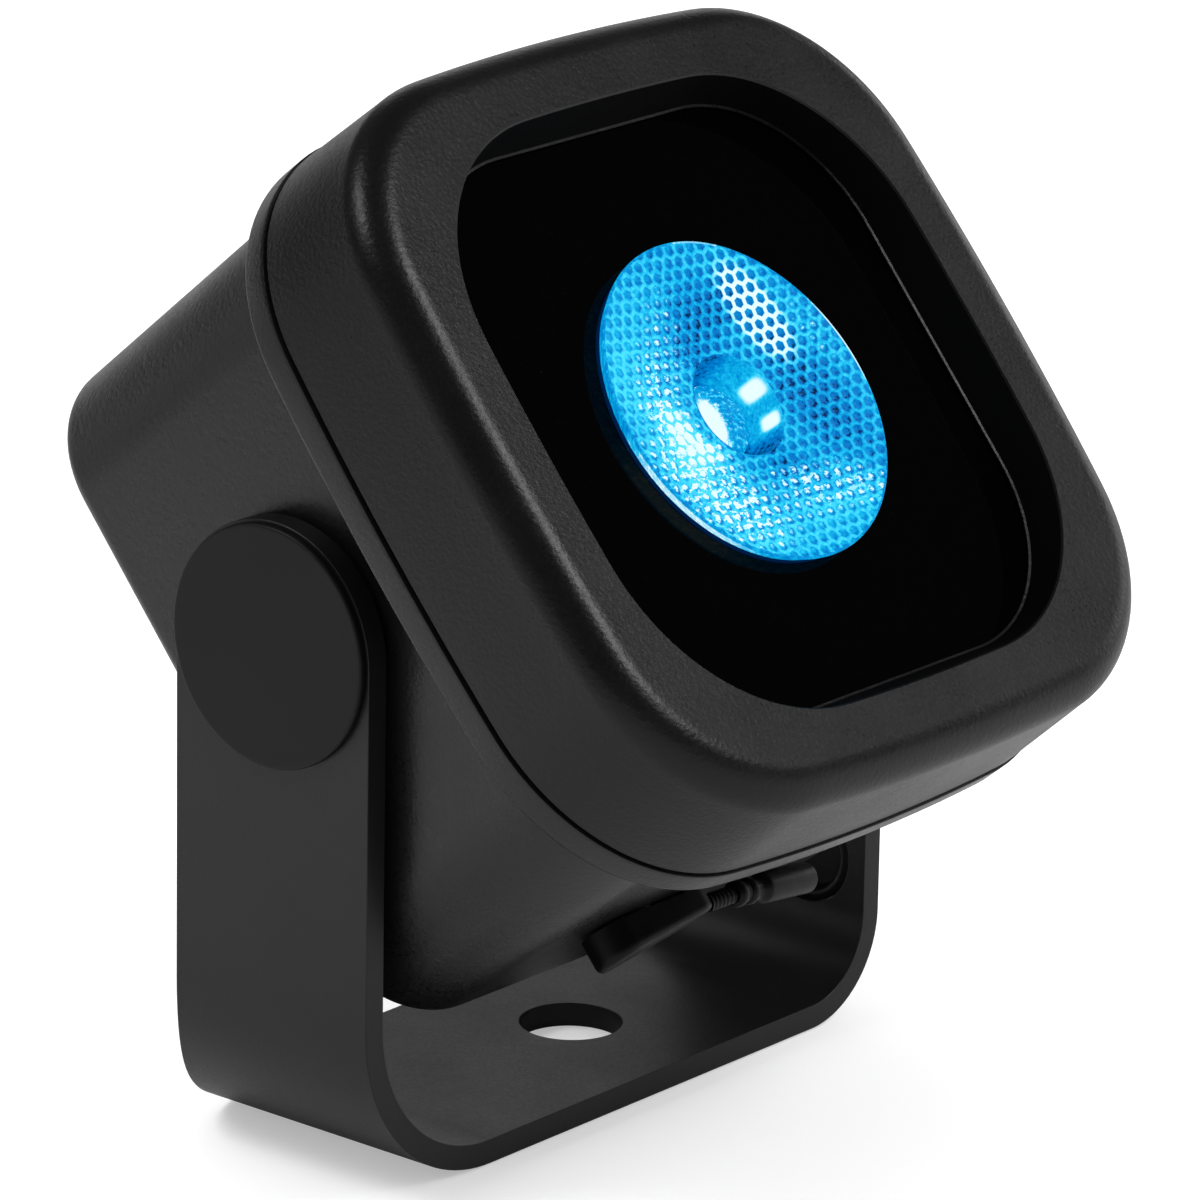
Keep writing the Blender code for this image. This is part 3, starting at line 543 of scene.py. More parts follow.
# ---------------------------------------------------------------- front cover
def make_cover():
    """Closed ring of sections: outer side, front fillet, face, opening, recess, inner side."""
    rim = 0.15 * MM
    hold = 0.4 * MM                     # extra rows beside an edge keep flats flat
    rings = [grown(COVER_REAR, -rim, SEAM)]
    rings += [grown(COVER_REAR, x - rim, SEAM + rim - y) for x, y in arc((0, 0), rim, 60, 0, 2)]
    start = SEAM + rim + hold
    end = FACE - FRONT_FILLET - hold
    for i in range(5):
        share = i / 4
        rings.append(grown(COVER, COVER_DRAFT * (1 - share), start + (end - start) * share))
    rings += [grown(COVER, x - FRONT_FILLET, FACE - FRONT_FILLET + y)
              for x, y in arc((0, 0), FRONT_FILLET, 0, 90, 16)]
    inner_face = (OPENING_HALF + OPENING_EDGE, OPENING_CORNER + OPENING_EDGE, OPENING_LEAN)
    outer_face = grown(COVER, -FRONT_FILLET, FACE)[:3]
    for share in (0.08, 0.5, 0.92, 1.0):
        rings.append(tuple(o + (i - o) * share for o, i in zip(outer_face, inner_face)) + (FACE,))
    rings.append((OPENING_HALF, OPENING_CORNER, OPENING_LEAN, FACE - OPENING_FALL))
    slope_start = len(rings) - 1
    lip = WINDOW_FRONT + GAP
    slope_top, slope_end = FACE - OPENING_FALL, lip + LAND
    for i in range(1, 9):
        share = i / 8
        rings.append((OPENING_HALF + (RECESS_HALF + LAND - OPENING_HALF) * share,
                      OPENING_CORNER + (RECESS_CORNER + LAND - OPENING_CORNER) * share,
                      OPENING_LEAN * (1 - share), slope_top + (slope_end - slope_top) * share))
    # The slope into the recess takes the darker copy of the paint: painted shade.
    slope_rows = range(slope_start, len(rings) - 1)
    rings.append((RECESS_HALF, RECESS_CORNER, 0, slope_end - 0.28 * LAND))
    rings.append((RECESS_HALF, RECESS_CORNER, 0, lip))
    window = (WINDOW_HALF, WINDOW_CORNER, 0)
    seat = GAP + 1.8 * MM
    seat_back = lip - 1.2 * MM
    inner_front = FACE - COVER_WALL
    rings += [grown(window, GAP, lip), grown(window, GAP, seat_back),
              grown(window, seat, seat_back), grown(window, seat, inner_front),
              grown(COVER, -COVER_WALL, inner_front),
              grown(COVER, -COVER_WALL, SEAM + GASKET_DEPTH),
              grown(COVER_REAR, -GASKET_STEP, SEAM + GASKET_DEPTH),
              grown(COVER_REAR, -GASKET_STEP, SEAM)]
    loops = ring_loops(rings)
    shell = loft(loops, closed=True, dark_rows=slope_rows)
    cover = add_piece("cover_shell", shell, FINISHES["cover_paint"], 14, FINISHES["recess_black_painted_shade"])
    post = POST_RADIUS - 0.5 * MM
    posts = pins(post, SEAM + 0.4 * MM, FACE - COVER_WALL / 2, 32)
    shape_with(cover, posts, 'UNION', 14)
    pilots = pins(PILOT_RADIUS, SEAM - GAP, SCREW_TIP + 2 * GAP, 24)
    shape_with(cover, pilots, 'DIFFERENCE', 14)
    place(cover, "lamp_head", "cover_paint", "front_cover")


def screw_places():
    return [(x * SCREW_REACH, up * SCREW_REACH) for x, up in ((-1, 1), (1, 1), (1, -1), (-1, -1))]


# ---------------------------------------------------------------- rear housing
def make_housing():
    """Rounded box with a flange at its front, open towards the cover."""
    hold = 0.5 * MM
    rings = [grown(BOX, -BACK_FILLET - inset, BACK) for inset in (8 * hold, hold)]
    start = BACK + BACK_FILLET
    rings += [grown(BOX, x - BACK_FILLET, start + y)
              for x, y in arc((0, 0), BACK_FILLET, -90, 0, 10)]
    rings += [grown(BOX, BOX_DRAFT * share, start + (FLANGE_REAR - start) * share)
              for share in (0.02, 0.25, 0.5, 0.75, 0.96)]
    root = 0.5 * MM                     # small fillet where the flange leaves the box
    rings += [grown(BOX_FRONT, x, FLANGE_REAR - 2 * root + y)
              for x, y in arc((root, root), root, 180, 90, 4)]
    rings[-1] = grown(BOX_FRONT, root, FLANGE_REAR)
    edge = FLANGE_EDGE
    for share in (0.15, 0.85):
        rings.append((*(b + (f - edge - b) * share for b, f in zip(BOX_FRONT[:2], FLANGE)),
                      COVER_LEAN * share, FLANGE_REAR))
    rings += [grown(FLANGE, x - edge, FLANGE_REAR + edge + y)
              for x, y in arc((0, 0), edge, -90, 0, 5)]
    rings.append(grown(FLANGE, 0, FLANGE_FRONT - edge))
    soft = FLANGE_FRONT_EDGE
    rings += [grown(FLANGE, x - soft, FLANGE_FRONT - soft + y)
              for x, y in arc((0, 0), soft, 0, 90, 3)]
    inner_back = BACK + BOX_WALL
    rings += [grown(BOX_FRONT, -BOX_WALL, FLANGE_FRONT), grown(BOX, -BOX_WALL, inner_back)]
    loops = ring_loops(rings)
    housing = add_piece("housing_shell", loft(loops), FINISHES["housing_paint"], sharp=25)
    posts = pins(POST_RADIUS, inner_back - BOX_WALL / 2, FLANGE_FRONT - 3 * GAP, 32)
    bosses = cross_pins(BOSS_RADIUS, BOSS_INNER, BOX_HALF - BOX_WALL / 2, 40)
    shape_with(housing, posts + bosses, 'UNION', 25)
    cuts = pins(PILOT_RADIUS, BACK - BOX_WALL, SEAM + GAP, 24)
    cuts += [turned(screw_recess(), 40, at) for at in screw_places()]
    cuts += cross_pins(BOLT_BORE, INSERT_INNER, BOX_HALF + BOX_WALL)
    cuts += cross_pins(INSERT_BORE, INSERT_INNER, INSERT_OUTER)
    cuts.append(tube(head_point(*LEAD_AT, UNDERSIDE + 2 * BOX_WALL),
                     head_point(*LEAD_AT, UNDERSIDE - BOX_WALL), SPIGOT_RADIUS + GAP))
    shape_with(housing, cuts, 'DIFFERENCE', 25)
    place(housing, "lamp_head", "housing_paint", "rear_housing")


def screw_recess():
    """Counterbore with a softened mouth."""
    bore = SCREW_HEAD + GAP
    lip = 0.4 * MM
    return [(bore + 3 * lip, BACK - 2 * lip), (bore + lip, BACK), (bore + lip / 3, BACK + lip / 3),
            (bore, BACK + lip), (bore, BACK + 2.8 * MM)]


# ---------------------------------------------------------------- screws
def make_cover_screws():
    """Pan-head screws with a cross recess, one in each rear corner."""
    seat = BACK + 2.5 * MM
    shank = 1.5 * MM
    dome = [(SCREW_HEAD - 0.5 * MM + x, SCREW_REAR + 0.5 * MM + y)
            for x, y in arc((0, 0), 0.5 * MM, 0, -78, 6)]
    for n, at in enumerate(screw_places(), 1):
        profile = [(0.9 * MM, SCREW_TIP), (shank, SCREW_TIP - 0.9 * MM), (shank, seat),
                   (SCREW_HEAD, seat), (SCREW_HEAD, seat - 0.3 * MM)] + dome
        profile.append((0.4 * MM, SCREW_REAR))
        screw = add_piece(f"screw_cross_{n}", turned(profile, 48, at), FINISHES["zinc_steel"])
        slots = [cross_slot(at, turn) for turn in (0.35, 0.35 + pi / 2)]
        shape_with(screw, slots, 'DIFFERENCE')
        place(screw, "lamp_head", "zinc_steel", f"cover_screw_{n}")


def cross_slot(at, turn):
    """Tapering bar that cuts one arm of the cross."""
    spin = Matrix.Rotation(turn, 2)
    loops = []
    for share in (1.15, 1.0, 0.35):
        length, width = 1.75 * MM * share, 0.42 * MM * (0.5 + share / 2)
        forward = SCREW_REAR + 1.1 * MM * (1 - share) * 1.4
        bar = [(-length, -width), (length, -width), (length, width), (-length, width)]
        turned_bar = [spin @ Vector(p) for p in bar]
        loops.append(station([Vector((at[0] + p.x, at[1] + p.y)) for p in turned_bar], forward))
    return loft(loops)


# ---------------------------------------------------------------- window
def make_window():
    """Black panel with softened edges and a round hole for the lens."""
    soft = 0.3 * MM
    shift = WINDOW_CORNER - WINDOW_HALF
    bore = LENS_FOOT + GAP
    rim = 0.15 * MM
    wide = bore + 2 * MM
    square = [(WINDOW_HALF - soft, WINDOW_REAR), (WINDOW_HALF, WINDOW_REAR + soft),
              (WINDOW_HALF, WINDOW_FRONT - soft)]
    square += [(WINDOW_HALF - soft + x, WINDOW_FRONT - soft + y)
               for x, y in arc((0, 0), soft, 30, 90, 2)]
    square.append((WINDOW_HALF - 1.5 * MM, WINDOW_FRONT))
    loops = [station(soft_square(h, h + shift), f) for h, f in square]
    ways = [p.normalized() for p in soft_square(WINDOW_HALF, WINDOW_CORNER)]
    for radius, forward in ((wide, WINDOW_FRONT), (bore + rim, WINDOW_FRONT),
                            (bore, WINDOW_FRONT - rim), (bore, WINDOW_REAR), (wide, WINDOW_REAR)):
        loops.append(station([way * radius for way in ways], forward))
    glass = add_piece("window_glass", loft(loops, closed=True), FINISHES["window_black"])
    place(glass, "lamp_head", "window_black", "window_panel")


# ---------------------------------------------------------------- lens
CELL_PITCH = 1.75 * MM
CELL_TURN = radians(25)                # direction of one row of cells
CELL_SAG = 0.12 * MM
RIM_FLAT = 0.35 * MM                   # plain ring between the cells and the lens's edge
WELL_LIP = 0.3 * MM

# Painted light on the lens's face: highlight net, glint spots and glare, then painted shade
# (darker) and painted light (brighter) patches: (x, up, half length, half width) in mm, turn,
# strength
NET_LIGHT = [(9.7, 10.0, 6.9, 3.5, -72, 1.8)]
SPOT_LIGHT = [(-10.5, -7.5, 9.0, 5.2, -62, 1.35), (9.5, -13.0, 8.0, 3.2, -20, 1.1),
              (2.0, -12.5, 6.0, 3.6, -40, 0.8), (-7.5, 9.0, 9.0, 4.2, 60, 0.75),
              (-13.0, 3.0, 6.5, 4.5, -80, 0.9), (-7.0, -13.5, 7.0, 4.0, -30, 0.8),
              (16.5, 6.0, 6.0, 2.2, -70, 0.5), (-15.5, -8.5, 9.0, 3.2, -60, 1.1)]
GLARE = [(-11.6, -2.0, 4.4, 2.6, -84, 1.3), (-8.4, -4.4, 2.4, 1.5, -30, 0.9),
         (-14.0, -7.0, 5.0, 1.8, -62, 0.45)]
PAINTED_SHADE_PATCHES = [(12.0, -2.0, 9.0, 5.0, -75, 0.22), (1.0, 11.5, 7.5, 4.0, 10, 0.22),
        (2.5, -8.5, 4.0, 2.2, -20, 0.20), (-3.5, 7.5, 3.0, 2.5, 0, 0.15)]
PAINTED_LIGHT_PATCHES = [(-14.0, -4.0, 14.0, 6.0, -70, 0.20), (3.0, -16.5, 15.0, 4.0, 0, 0.16),
          (-13.5, 11.0, 10.0, 5.0, 45, 0.16)]


def patches(painted_glints, x, up):
    """Sum of soft elliptical patches at a place on the lens's face, in metres."""
    total = 0.0
    for px, pu, length, width, turn, strength in painted_glints:
        a = radians(turn)
        dx, du = x / MM - px, up / MM - pu
        s = (dx * cos(a) + du * sin(a)) / length
        t = (du * cos(a) - dx * sin(a)) / width
        total += strength * exp(-(s * s + t * t) ** 1.5)
    return total


def lens_lattice(inner, outer):
    """Points of a triangular net between two radii, four steps to a cell's corner."""
    corner = CELL_PITCH / sqrt(3)
    step = corner / 4
    row_dir = Vector((cos(CELL_TURN), sin(CELL_TURN)))
    side_dir = Vector((cos(CELL_TURN + pi / 3), sin(CELL_TURN + pi / 3)))
    count = ceil(outer / step) + 2
    points = []
    for i in range(-2 * count, 2 * count):
        for j in range(-2 * count, 2 * count):
            p = (row_dir * i + side_dir * j) * step
            if inner + 0.4 * step < p.length < outer - 0.4 * step:
                points.append(p)
    return points


def cell_offset(p):
    """Vector from the middle of the nearest hexagonal cell to a point."""
    angle = CELL_TURN + pi / 6
    a = Vector((cos(angle), sin(angle))) * CELL_PITCH
    b = Vector((cos(angle + pi / 3), sin(angle + pi / 3))) * CELL_PITCH
    det = a.x * b.y - a.y * b.x
    u = floor((p.x * b.y - p.y * b.x) / det)
    v = floor((a.x * p.y - a.y * p.x) / det)
    offsets = [p - a * i - b * j for i in (u, u + 1) for j in (v, v + 1)]
    return min(offsets, key=lambda offset: offset.length)


def cell_value(offset):
    """0 in the middle of a cell, 1 on its border."""
    angle = CELL_TURN + pi / 6
    ways = [Vector((cos(angle + k * pi / 3), sin(angle + k * pi / 3))) for k in range(3)]
    return min(1.0, max(abs(offset.dot(way)) for way in ways) / (CELL_PITCH / 2))


class LensSkin:
    """The lens's mesh in the making, with the paint layers of painted shade, highlights and glints
    that its finish reads.
    """

    # cell is the cell shape; the other layers carry painted shade, painted highlights, glints and
    # glare.
    LAYERS = ("cell", "painted_cell_shade", "tone", "net", "painted_glints", "glare")

    def __init__(self):
        self.bm = bmesh.new()
        self.layers = [self.bm.verts.layers.float.new(key) for key in self.LAYERS]

    def vertex(self, x, up, forward, *values):
        v = self.bm.verts.new(head_point(x, forward, up))
        for layer, value in zip(self.layers, values):
            v[layer] = value
        return v

    def carry_on(self, loop, rings, painted_light):
        """Carry the surface on from a loop through (radius, forward) rings, then close it."""
        steps = len(loop)
        for radius, forward in rings:
            turns = [2 * pi * i / steps for i in range(steps)]
            ring = [self.vertex(radius * cos(a), radius * sin(a), forward,
                                *painted_light(radius, forward, (degrees(a) + 180) % 360 - 180))
                    for a in turns]
            for i in range(steps):
                j = (i + 1) % steps
                self.bm.faces.new((loop[i], loop[j], ring[j], ring[i]))
            loop = ring
        self.bm.faces.new(loop)


def bump_at(turn, middle, reach):
    """1 around an angle in degrees, falling off fast beyond reach."""
    return exp(-((turn - middle) / reach) ** 4)


def paint(tone, painted_glints=0.0, glare=0.0):
    """Values of the painted light and shade layers where the lens has no cells."""
    return 0.5, 0.0, tone, 0.0, painted_glints, glare


def rim_highlights_and_shade(radius, forward, turn):
    """Painted highlights as thin bright arcs on the lens's front edge and left side, and painted
    shade where it meets the window.
    """
    edge_start = LENS_FRONT - 0.25 * MM
    edge = forward > edge_start and radius > LENS_RADIUS - 0.5 * MM
    side = WINDOW_FRONT + 0.35 * MM < forward < edge_start
    shine = 0.0
    # Painted highlights: bright arcs on the front edge and the left side.
    if edge:
        shine = bump_at(turn, 10, 17) + 0.6 * bump_at(turn, 75, 13)
    if side:
        shine = 0.7 * bump_at(turn, -150, 30)
    # Painted shade, dark towards black, low on the side where the lens meets the window.
    return paint(0.6 if edge or side else -0.3, 0.35, shine)


def well_reflections_and_shade(radius, forward, turn):
    """Painted reflections: two window-shaped highlights on the wall, a long one on the domed floor;
    painted shade on the rest of the wall and round the dome.
    """
    mouth = LENS_FRONT - LENS_DISH
    depth = (mouth - forward) / WELL_DEPTH
    if radius <= DOME_RADIUS and depth < 0.86:
        x, up = radius * cos(radians(turn)) / MM, radius * sin(radians(turn)) / MM
        # Painted reflection: a long highlight on the domed floor.
        return paint(0.62, 0.7, 1.5 * exp(-(((x + 1.1) / 1.6) ** 2 + (up / 3.1) ** 2) ** 2))
    # Painted shade in the corner between the wall and the dome.
    if radius < WELL_RADIUS - 0.7 * MM:
        return paint(0.12)
    # Painted shade at both ends of the wall and across its back.
    shade = 0.74 - 0.42 * bump_at(turn, 98, 32) - 0.45 * bump_at(turn, -66, 24)
    shade -= 0.3 if abs(turn) > 125 else 0.0
    # Painted reflections of two windows on the wall.
    window = exp(-((turn - 16) / 12) ** 4 - ((depth - 0.40) / 0.40) ** 4)
    window += exp(-((turn + 24) / 10) ** 4 - ((depth - 0.34) / 0.32) ** 4)
    return paint(shade, 0.0, 1.2 * window)


def make_lens():
    """Honeycombed front dished towards a blind well, and the reflecting cone behind."""
    outer = LENS_RADIUS - RIM_FLAT
    inner = WELL_RADIUS + WELL_LIP
    outer_steps, inner_steps = 200, 96
    points = circle(outer, outer_steps) + circle(inner, inner_steps)
    edges = [(i, (i + 1) % outer_steps) for i in range(outer_steps)]
    edges += [(outer_steps + i, outer_steps + (i + 1) % inner_steps) for i in range(inner_steps)]
    points += lens_lattice(inner, outer)
    flat, _, faces, _, _, _ = delaunay_2d_cdt(points, edges, [], 1, 1e-7)

    skin = LensSkin()
    # The painted cell shade is lit from this side.
    light_from = Vector((-0.5, 0.85))
    verts = []
    for p in flat:
        offset = cell_offset(p)
        cell = cell_value(offset)
        # Painted cell shade: lighter towards light_from, fading out at the cell's border.
        painted_cell_shade = offset.dot(light_from) / (CELL_PITCH / 2) * (1 - cell * cell)
        share = min(1.0, max(0.0, (p.length - inner) / (outer - inner)))
        fade = min(1.0, (outer - p.length) / CELL_PITCH, (p.length - inner) / CELL_PITCH)
        drop = LENS_DISH * (1 - share) + CELL_SAG * cell ** 2 * max(0.0, fade)
        # Painted shade and painted light patches in the glow.
        tone = 0.52 - patches(PAINTED_SHADE_PATCHES, p.x, p.y) + patches(PAINTED_LIGHT_PATCHES, p.x, p.y)
        verts.append(skin.vertex(p.x, p.y, LENS_FRONT - drop, cell, painted_cell_shade, tone,
                                 patches(NET_LIGHT, p.x, p.y), patches(SPOT_LIGHT, p.x, p.y),
                                 patches(GLARE, p.x, p.y)))
    for f in faces:
        middle = sum((flat[i] for i in f), Vector((0, 0))) / len(f)
        if middle.length > inner:
            skin.bm.faces.new([verts[i] for i in f])

    soft = 0.12 * MM
    body_rim = LENS_FRONT - LENS_RIM
    rings = [(LENS_RADIUS - 2 * soft, LENS_FRONT)]
    rings += [(LENS_RADIUS - soft + x, LENS_FRONT - soft + y)
              for x, y in arc((0, 0), soft, 90, 0, 3)]
    rings += [(LENS_FOOT + (LENS_RADIUS - LENS_FOOT) * lift / 1.7, WINDOW_FRONT + lift * MM)
              for lift in (1.5, 1.0, 0.6, 0.4, 0.3, 0.1, 0.0)]
    rings.append((LENS_FOOT, body_rim))
    neck = 8.5 * MM
    shoulder = LENS_RADIUS - 1 * MM
    rings += [(neck + (shoulder - neck) * (i / 8) ** 0.72,
               LENS_REAR + (body_rim - LENS_REAR) * i / 8) for i in range(8, -1, -1)]
    cavity = 5.2 * MM
    dome = LENS_REAR + 6.5 * MM
    rings += [(cavity, LENS_REAR), (cavity, dome), (cavity * 0.7, dome + 1.7 * MM),
              (0.4 * MM, dome + 2.5 * MM)]
    skin.carry_on(verts[:outer_steps], rings, rim_highlights_and_shade)

    mouth = LENS_FRONT - LENS_DISH
    floor_level = mouth - WELL_DEPTH
    lip = 0.15 * MM
    bowl = WELL_RADIUS - 0.6 * MM
    rings = [(WELL_RADIUS + lip + x, mouth - lip + y) for x, y in arc((0, 0), lip, 90, 180, 3)]
    wall_steps = 16
    for i in range(1, wall_steps + 1):
        share = i / wall_steps
        rings.append((WELL_RADIUS + (bowl - WELL_RADIUS) * share,
                      mouth - lip + (floor_level - mouth + lip) * share))
    rings += [(DOME_RADIUS + 0.15 * MM, floor_level), (DOME_RADIUS, floor_level + 0.1 * MM),
              (DOME_RADIUS, floor_level + DOME_RISE * 0.6)]
    rings += [(DOME_RADIUS * cos(a), floor_level + DOME_RISE * (0.7 + 0.6 * sin(a)))
              for a in (radians(6 + 7 * i) for i in range(12))]
    skin.carry_on(verts[outer_steps:outer_steps + inner_steps], rings, well_reflections_and_shade)
    lens = add_piece("lens_honeycomb", skin.bm, FINISHES["lens_acrylic"], sharp=40)
    place(lens, "lamp_head", "lens_acrylic", "collimator_lens")


# ---------------------------------------------------------------- bracket and caps
def make_bracket():
    """One strip of sheet bent twice, round at the arm ends, holes in base and arm."""
    arm_rear = -ARM_FRONT
    top = PIVOT.z - 2 * ARM_FRONT

    def side_rows(side, radius, steps=28):
        centre = ARM_OUT - radius
        inner = radius - SHEET
        rows = [(side * ARM_OUT, side * (ARM_OUT - SHEET), top, top, arm_rear)]
        for i in range(steps + 1):
            a = pi / 2 * i / steps
            flare = (1 - cos(2 * a)) / 2
            rows.append((side * (centre + radius * cos(a)), side * (centre + inner * cos(a)),
                         radius * (1 - sin(a)), radius - inner * sin(a),
                         arm_rear + (BASE_REAR - arm_rear) * flare))
        return rows

    rows = side_rows(-1, LEFT_BEND) + side_rows(1, RIGHT_BEND)[::-1]
    loops = [[Vector((ox, ARM_FRONT, oz)), Vector((ix, ARM_FRONT, iz)),
              Vector((ix, rear, iz)), Vector((ox, rear, oz))] for ox, ix, oz, iz, rear in rows]
    bracket = add_piece("bracket_strip", loft(loops), FINISHES["bracket_paint"])

    radius = arm_rear
    wide = 2 * radius
    arch = [Vector((radius * cos(a), PIVOT.z + radius * sin(a)))
            for a in (pi * i / 56 for i in range(57))]
    arch += [Vector((-wide, PIVOT.z)), Vector((-wide, PIVOT.z + 2 * wide)),
             Vector((wide, PIVOT.z + 2 * wide)), Vector((wide, PIVOT.z))]
    ends = loft([[Vector((x, p.x, p.y)) for p in arch] for x in (-2 * ARM_OUT, 2 * ARM_OUT)])
    base_hole = tube(Vector((*BASE_HOLE_AT, -SHEET)), Vector((*BASE_HOLE_AT, 2 * SHEET)),
                     BASE_HOLE_RADIUS, 72)
    arm_hole = tube(Vector((ARM_OUT - 3 * SHEET, *ARM_HOLE_AT)),
                    Vector((ARM_OUT + SHEET, *ARM_HOLE_AT)), ARM_HOLE_RADIUS, 72)
    shape_with(bracket, [ends, base_hole, arm_hole], 'DIFFERENCE')
    round_over = bracket.modifiers.new("edges", 'BEVEL')
    round_over.width = 0.35 * MM
    round_over.segments = 3
    round_over.limit_method = 'ANGLE'
    round_over.angle_limit = radians(40)
    keep_modified(bracket, 12)
    bores = []
    for side in (-1, 1):
        for bore in ([(BOLT_BORE, ARM_OUT - 3 * SHEET), (BOLT_BORE, ARM_OUT + SHEET)],
                     [(COUNTERSINK, ARM_OUT + 0.1 * MM), (BOLT_BORE, ARM_OUT - 2.3 * MM)]):
            bores.append(turned_across(bore, 32, side))
    shape_with(bracket, bores, 'DIFFERENCE', 12)
    place(bracket, "bracket", "bracket_paint", "yoke_bracket")


def make_hole_plug():
    """Dished dark plug in the arm's hole."""
    inner = Vector((ARM_OUT - SHEET, *ARM_HOLE_AT))
    half = [(1.4, 1.9), (0.4, 1.5), (0.15, 1.2), (0.15, 0.7), (0.45, 0.1)]
    profile = [(depth * MM, ARM_HOLE_RADIUS - inset * MM) for depth, inset in half]
    profile += [(SHEET - depth, radius) for depth, radius in profile[::-1]]
    plug = along(inner, inner + Vector((SHEET, 0, 0)), profile, 72)
    body = add_piece("hole_plug", plug, FINISHES["black_rubber"], sharp=50)
    place(body, "bracket", "black_rubber")


def make_caps():
    """Flat round covers over the pivots, edges rounded over."""
    inner = ARM_OUT + 0.2 * MM
    outer = cap_high.x
    soft = 0.3 * MM
    for word, side in (("left", -1), ("right", 1)):
        profile = [(CAP_RADIUS - soft, inner), (CAP_RADIUS, inner + soft / 2)]
        profile += [(CAP_RADIUS - soft + x, outer - soft + y)
                    for x, y in arc((0, 0), soft, 0, 90, 5)]
        profile += [(CAP_RADIUS - 2 * soft, outer), (CAP_RADIUS - 8 * soft, outer)]
        disc = turned_across(profile, 128, side)
        cap = add_piece(f"cap_disc_{word}", disc, FINISHES["cap_paint"])
        place(cap, "bracket", "cap_paint", f"pivot_cap_{word}")


# ---------------------------------------------------------------- lead outlet and socket
OUTLET_START, OUTLET_END = (-19.5 * MM, -5.2 * MM), (-1.2 * MM, -3.1 * MM)
OUTLET_HALF = (3.8 * MM, 2.9 * MM)
OUTLET_DEPTH = (4.4 * MM, 2.7 * MM)
NECK_START = (-0.9 * MM, -3.0 * MM, UNDERSIDE - 2.0 * MM)
SOCKET_START = (2.9 * MM, -2.6 * MM, UNDERSIDE - 2.2 * MM)
SOCKET_END = (19.2 * MM, -5.6 * MM, UNDERSIDE - 3.0 * MM)


def outlet_loop(inset, drop):
    """Stadium outline in plan, at a share of the sloping depth below the housing."""
    start = head_point(*OUTLET_START, UNDERSIDE - GAP)
    end = head_point(*OUTLET_END, UNDERSIDE - GAP)
    down = head_point(0, 0, 0) - head_point(0, 0, 1)
    line = (end - start).normalized()
    across = down.cross(line)
    length = (end - start).length
    wide = [half - inset for half in OUTLET_HALF]
    turns = [pi * k / 20 for k in range(21)]
    plan = [(inset + wide[0] * (1 - sin(a)), wide[0] * cos(a)) for a in turns]
    plan += [(length - inset - wide[1] * (1 - sin(a)), -wide[1] * cos(a)) for a in turns]
    loop = []
    for s, t in plan:
        depth = OUTLET_DEPTH[0] + (OUTLET_DEPTH[1] - OUTLET_DEPTH[0]) * s / length
        loop.append(start + line * s + across * t + down * (drop * depth))
    return loop


def make_lead():
    """Moulded outlet under the housing, its short neck and the small in-line socket."""
    edge = 0.9 * MM
    loops = [outlet_loop(0, 0), outlet_loop(0, 0.1), outlet_loop(0, 0.4), outlet_loop(0, 0.7)]
    loops += [outlet_loop(edge * (1 - cos(radians(a))), 0.76 + 0.24 * sin(radians(a)))
              for a in range(0, 91, 15)]
    loops.append(outlet_loop(edge * 1.8, 1))
    boot = add_piece("outlet_boot", loft(loops), FINISHES["black_rubber"], sharp=50)
    spigot = tube(head_point(*LEAD_AT, UNDERSIDE - 3 * GAP),
                  head_point(*LEAD_AT, UNDERSIDE + 7.5 * MM), SPIGOT_RADIUS)
    shape_with(boot, [spigot], 'UNION', 50)
    place(boot, "lamp_head", "black_rubber", "lead_outlet")

    start, end = head_point(*NECK_START), head_point(*SOCKET_START)
    length = (end - start).length
    flutes = [(length * i / 24, (1.05 + 0.06 * cos(i * pi / 2)) * MM) for i in range(25)]
    neck = add_piece("neck_moulding", along(start, end, flutes, 32), FINISHES["black_rubber"], 60)
    place(neck, "lamp_head", "black_rubber", "lead_neck")

    tip = head_point(*SOCKET_END)
    line = (tip - end).normalized()
    begin = end + line * GAP
    length = (tip - begin).length
    barrel, waist, mouth = 1.9 * MM, 1.3 * MM, 1.15 * MM
    profile = [(0.0, 1.2 * MM)]
    for middle in (0.9 * MM, 3.3 * MM):                     # two moulded rings
        profile += [(middle + 0.7 * MM * cos(a), waist + 0.35 * MM * sin(a))
                    for a in (pi - pi * i / 8 for i in range(9))]
    profile += [(4.7 * MM + 1.8 * MM * i / 8, waist + (barrel - waist) * (1 - cos(pi * i / 8)) / 2)
                for i in range(9)]
    rim = 0.3 * MM
    profile.append((length - rim, barrel))
    profile += [(length - rim + rim * sin(a), barrel - rim + rim * cos(a))
                for a in (pi / 8 * i for i in range(1, 5))]
    moulding = along(begin, tip, profile, 48)
    socket = add_piece("socket_moulding", moulding, FINISHES["black_rubber"], sharp=60)
    bore = [(length - 6 * MM, mouth), (length - rim, mouth), (length + rim, mouth + rim)]
    shape_with(socket, [along(begin, tip, bore, 32)], 'DIFFERENCE', 60)
    place(socket, "lamp_head", "black_rubber", "inline_socket")


# ---------------------------------------------------------------- studio
CAMERA_ANGLES = (-50.249, 17.623, 1.016)                    # azimuth, elevation, roll
CAMERA_TARGET = Vector((4.407, -5.156, 60.100)) * MM
CAMERA_DISTANCE = 938.11 * MM
FOCAL_LENGTH = 238.35                                       # mm, on a 36 mm sensor


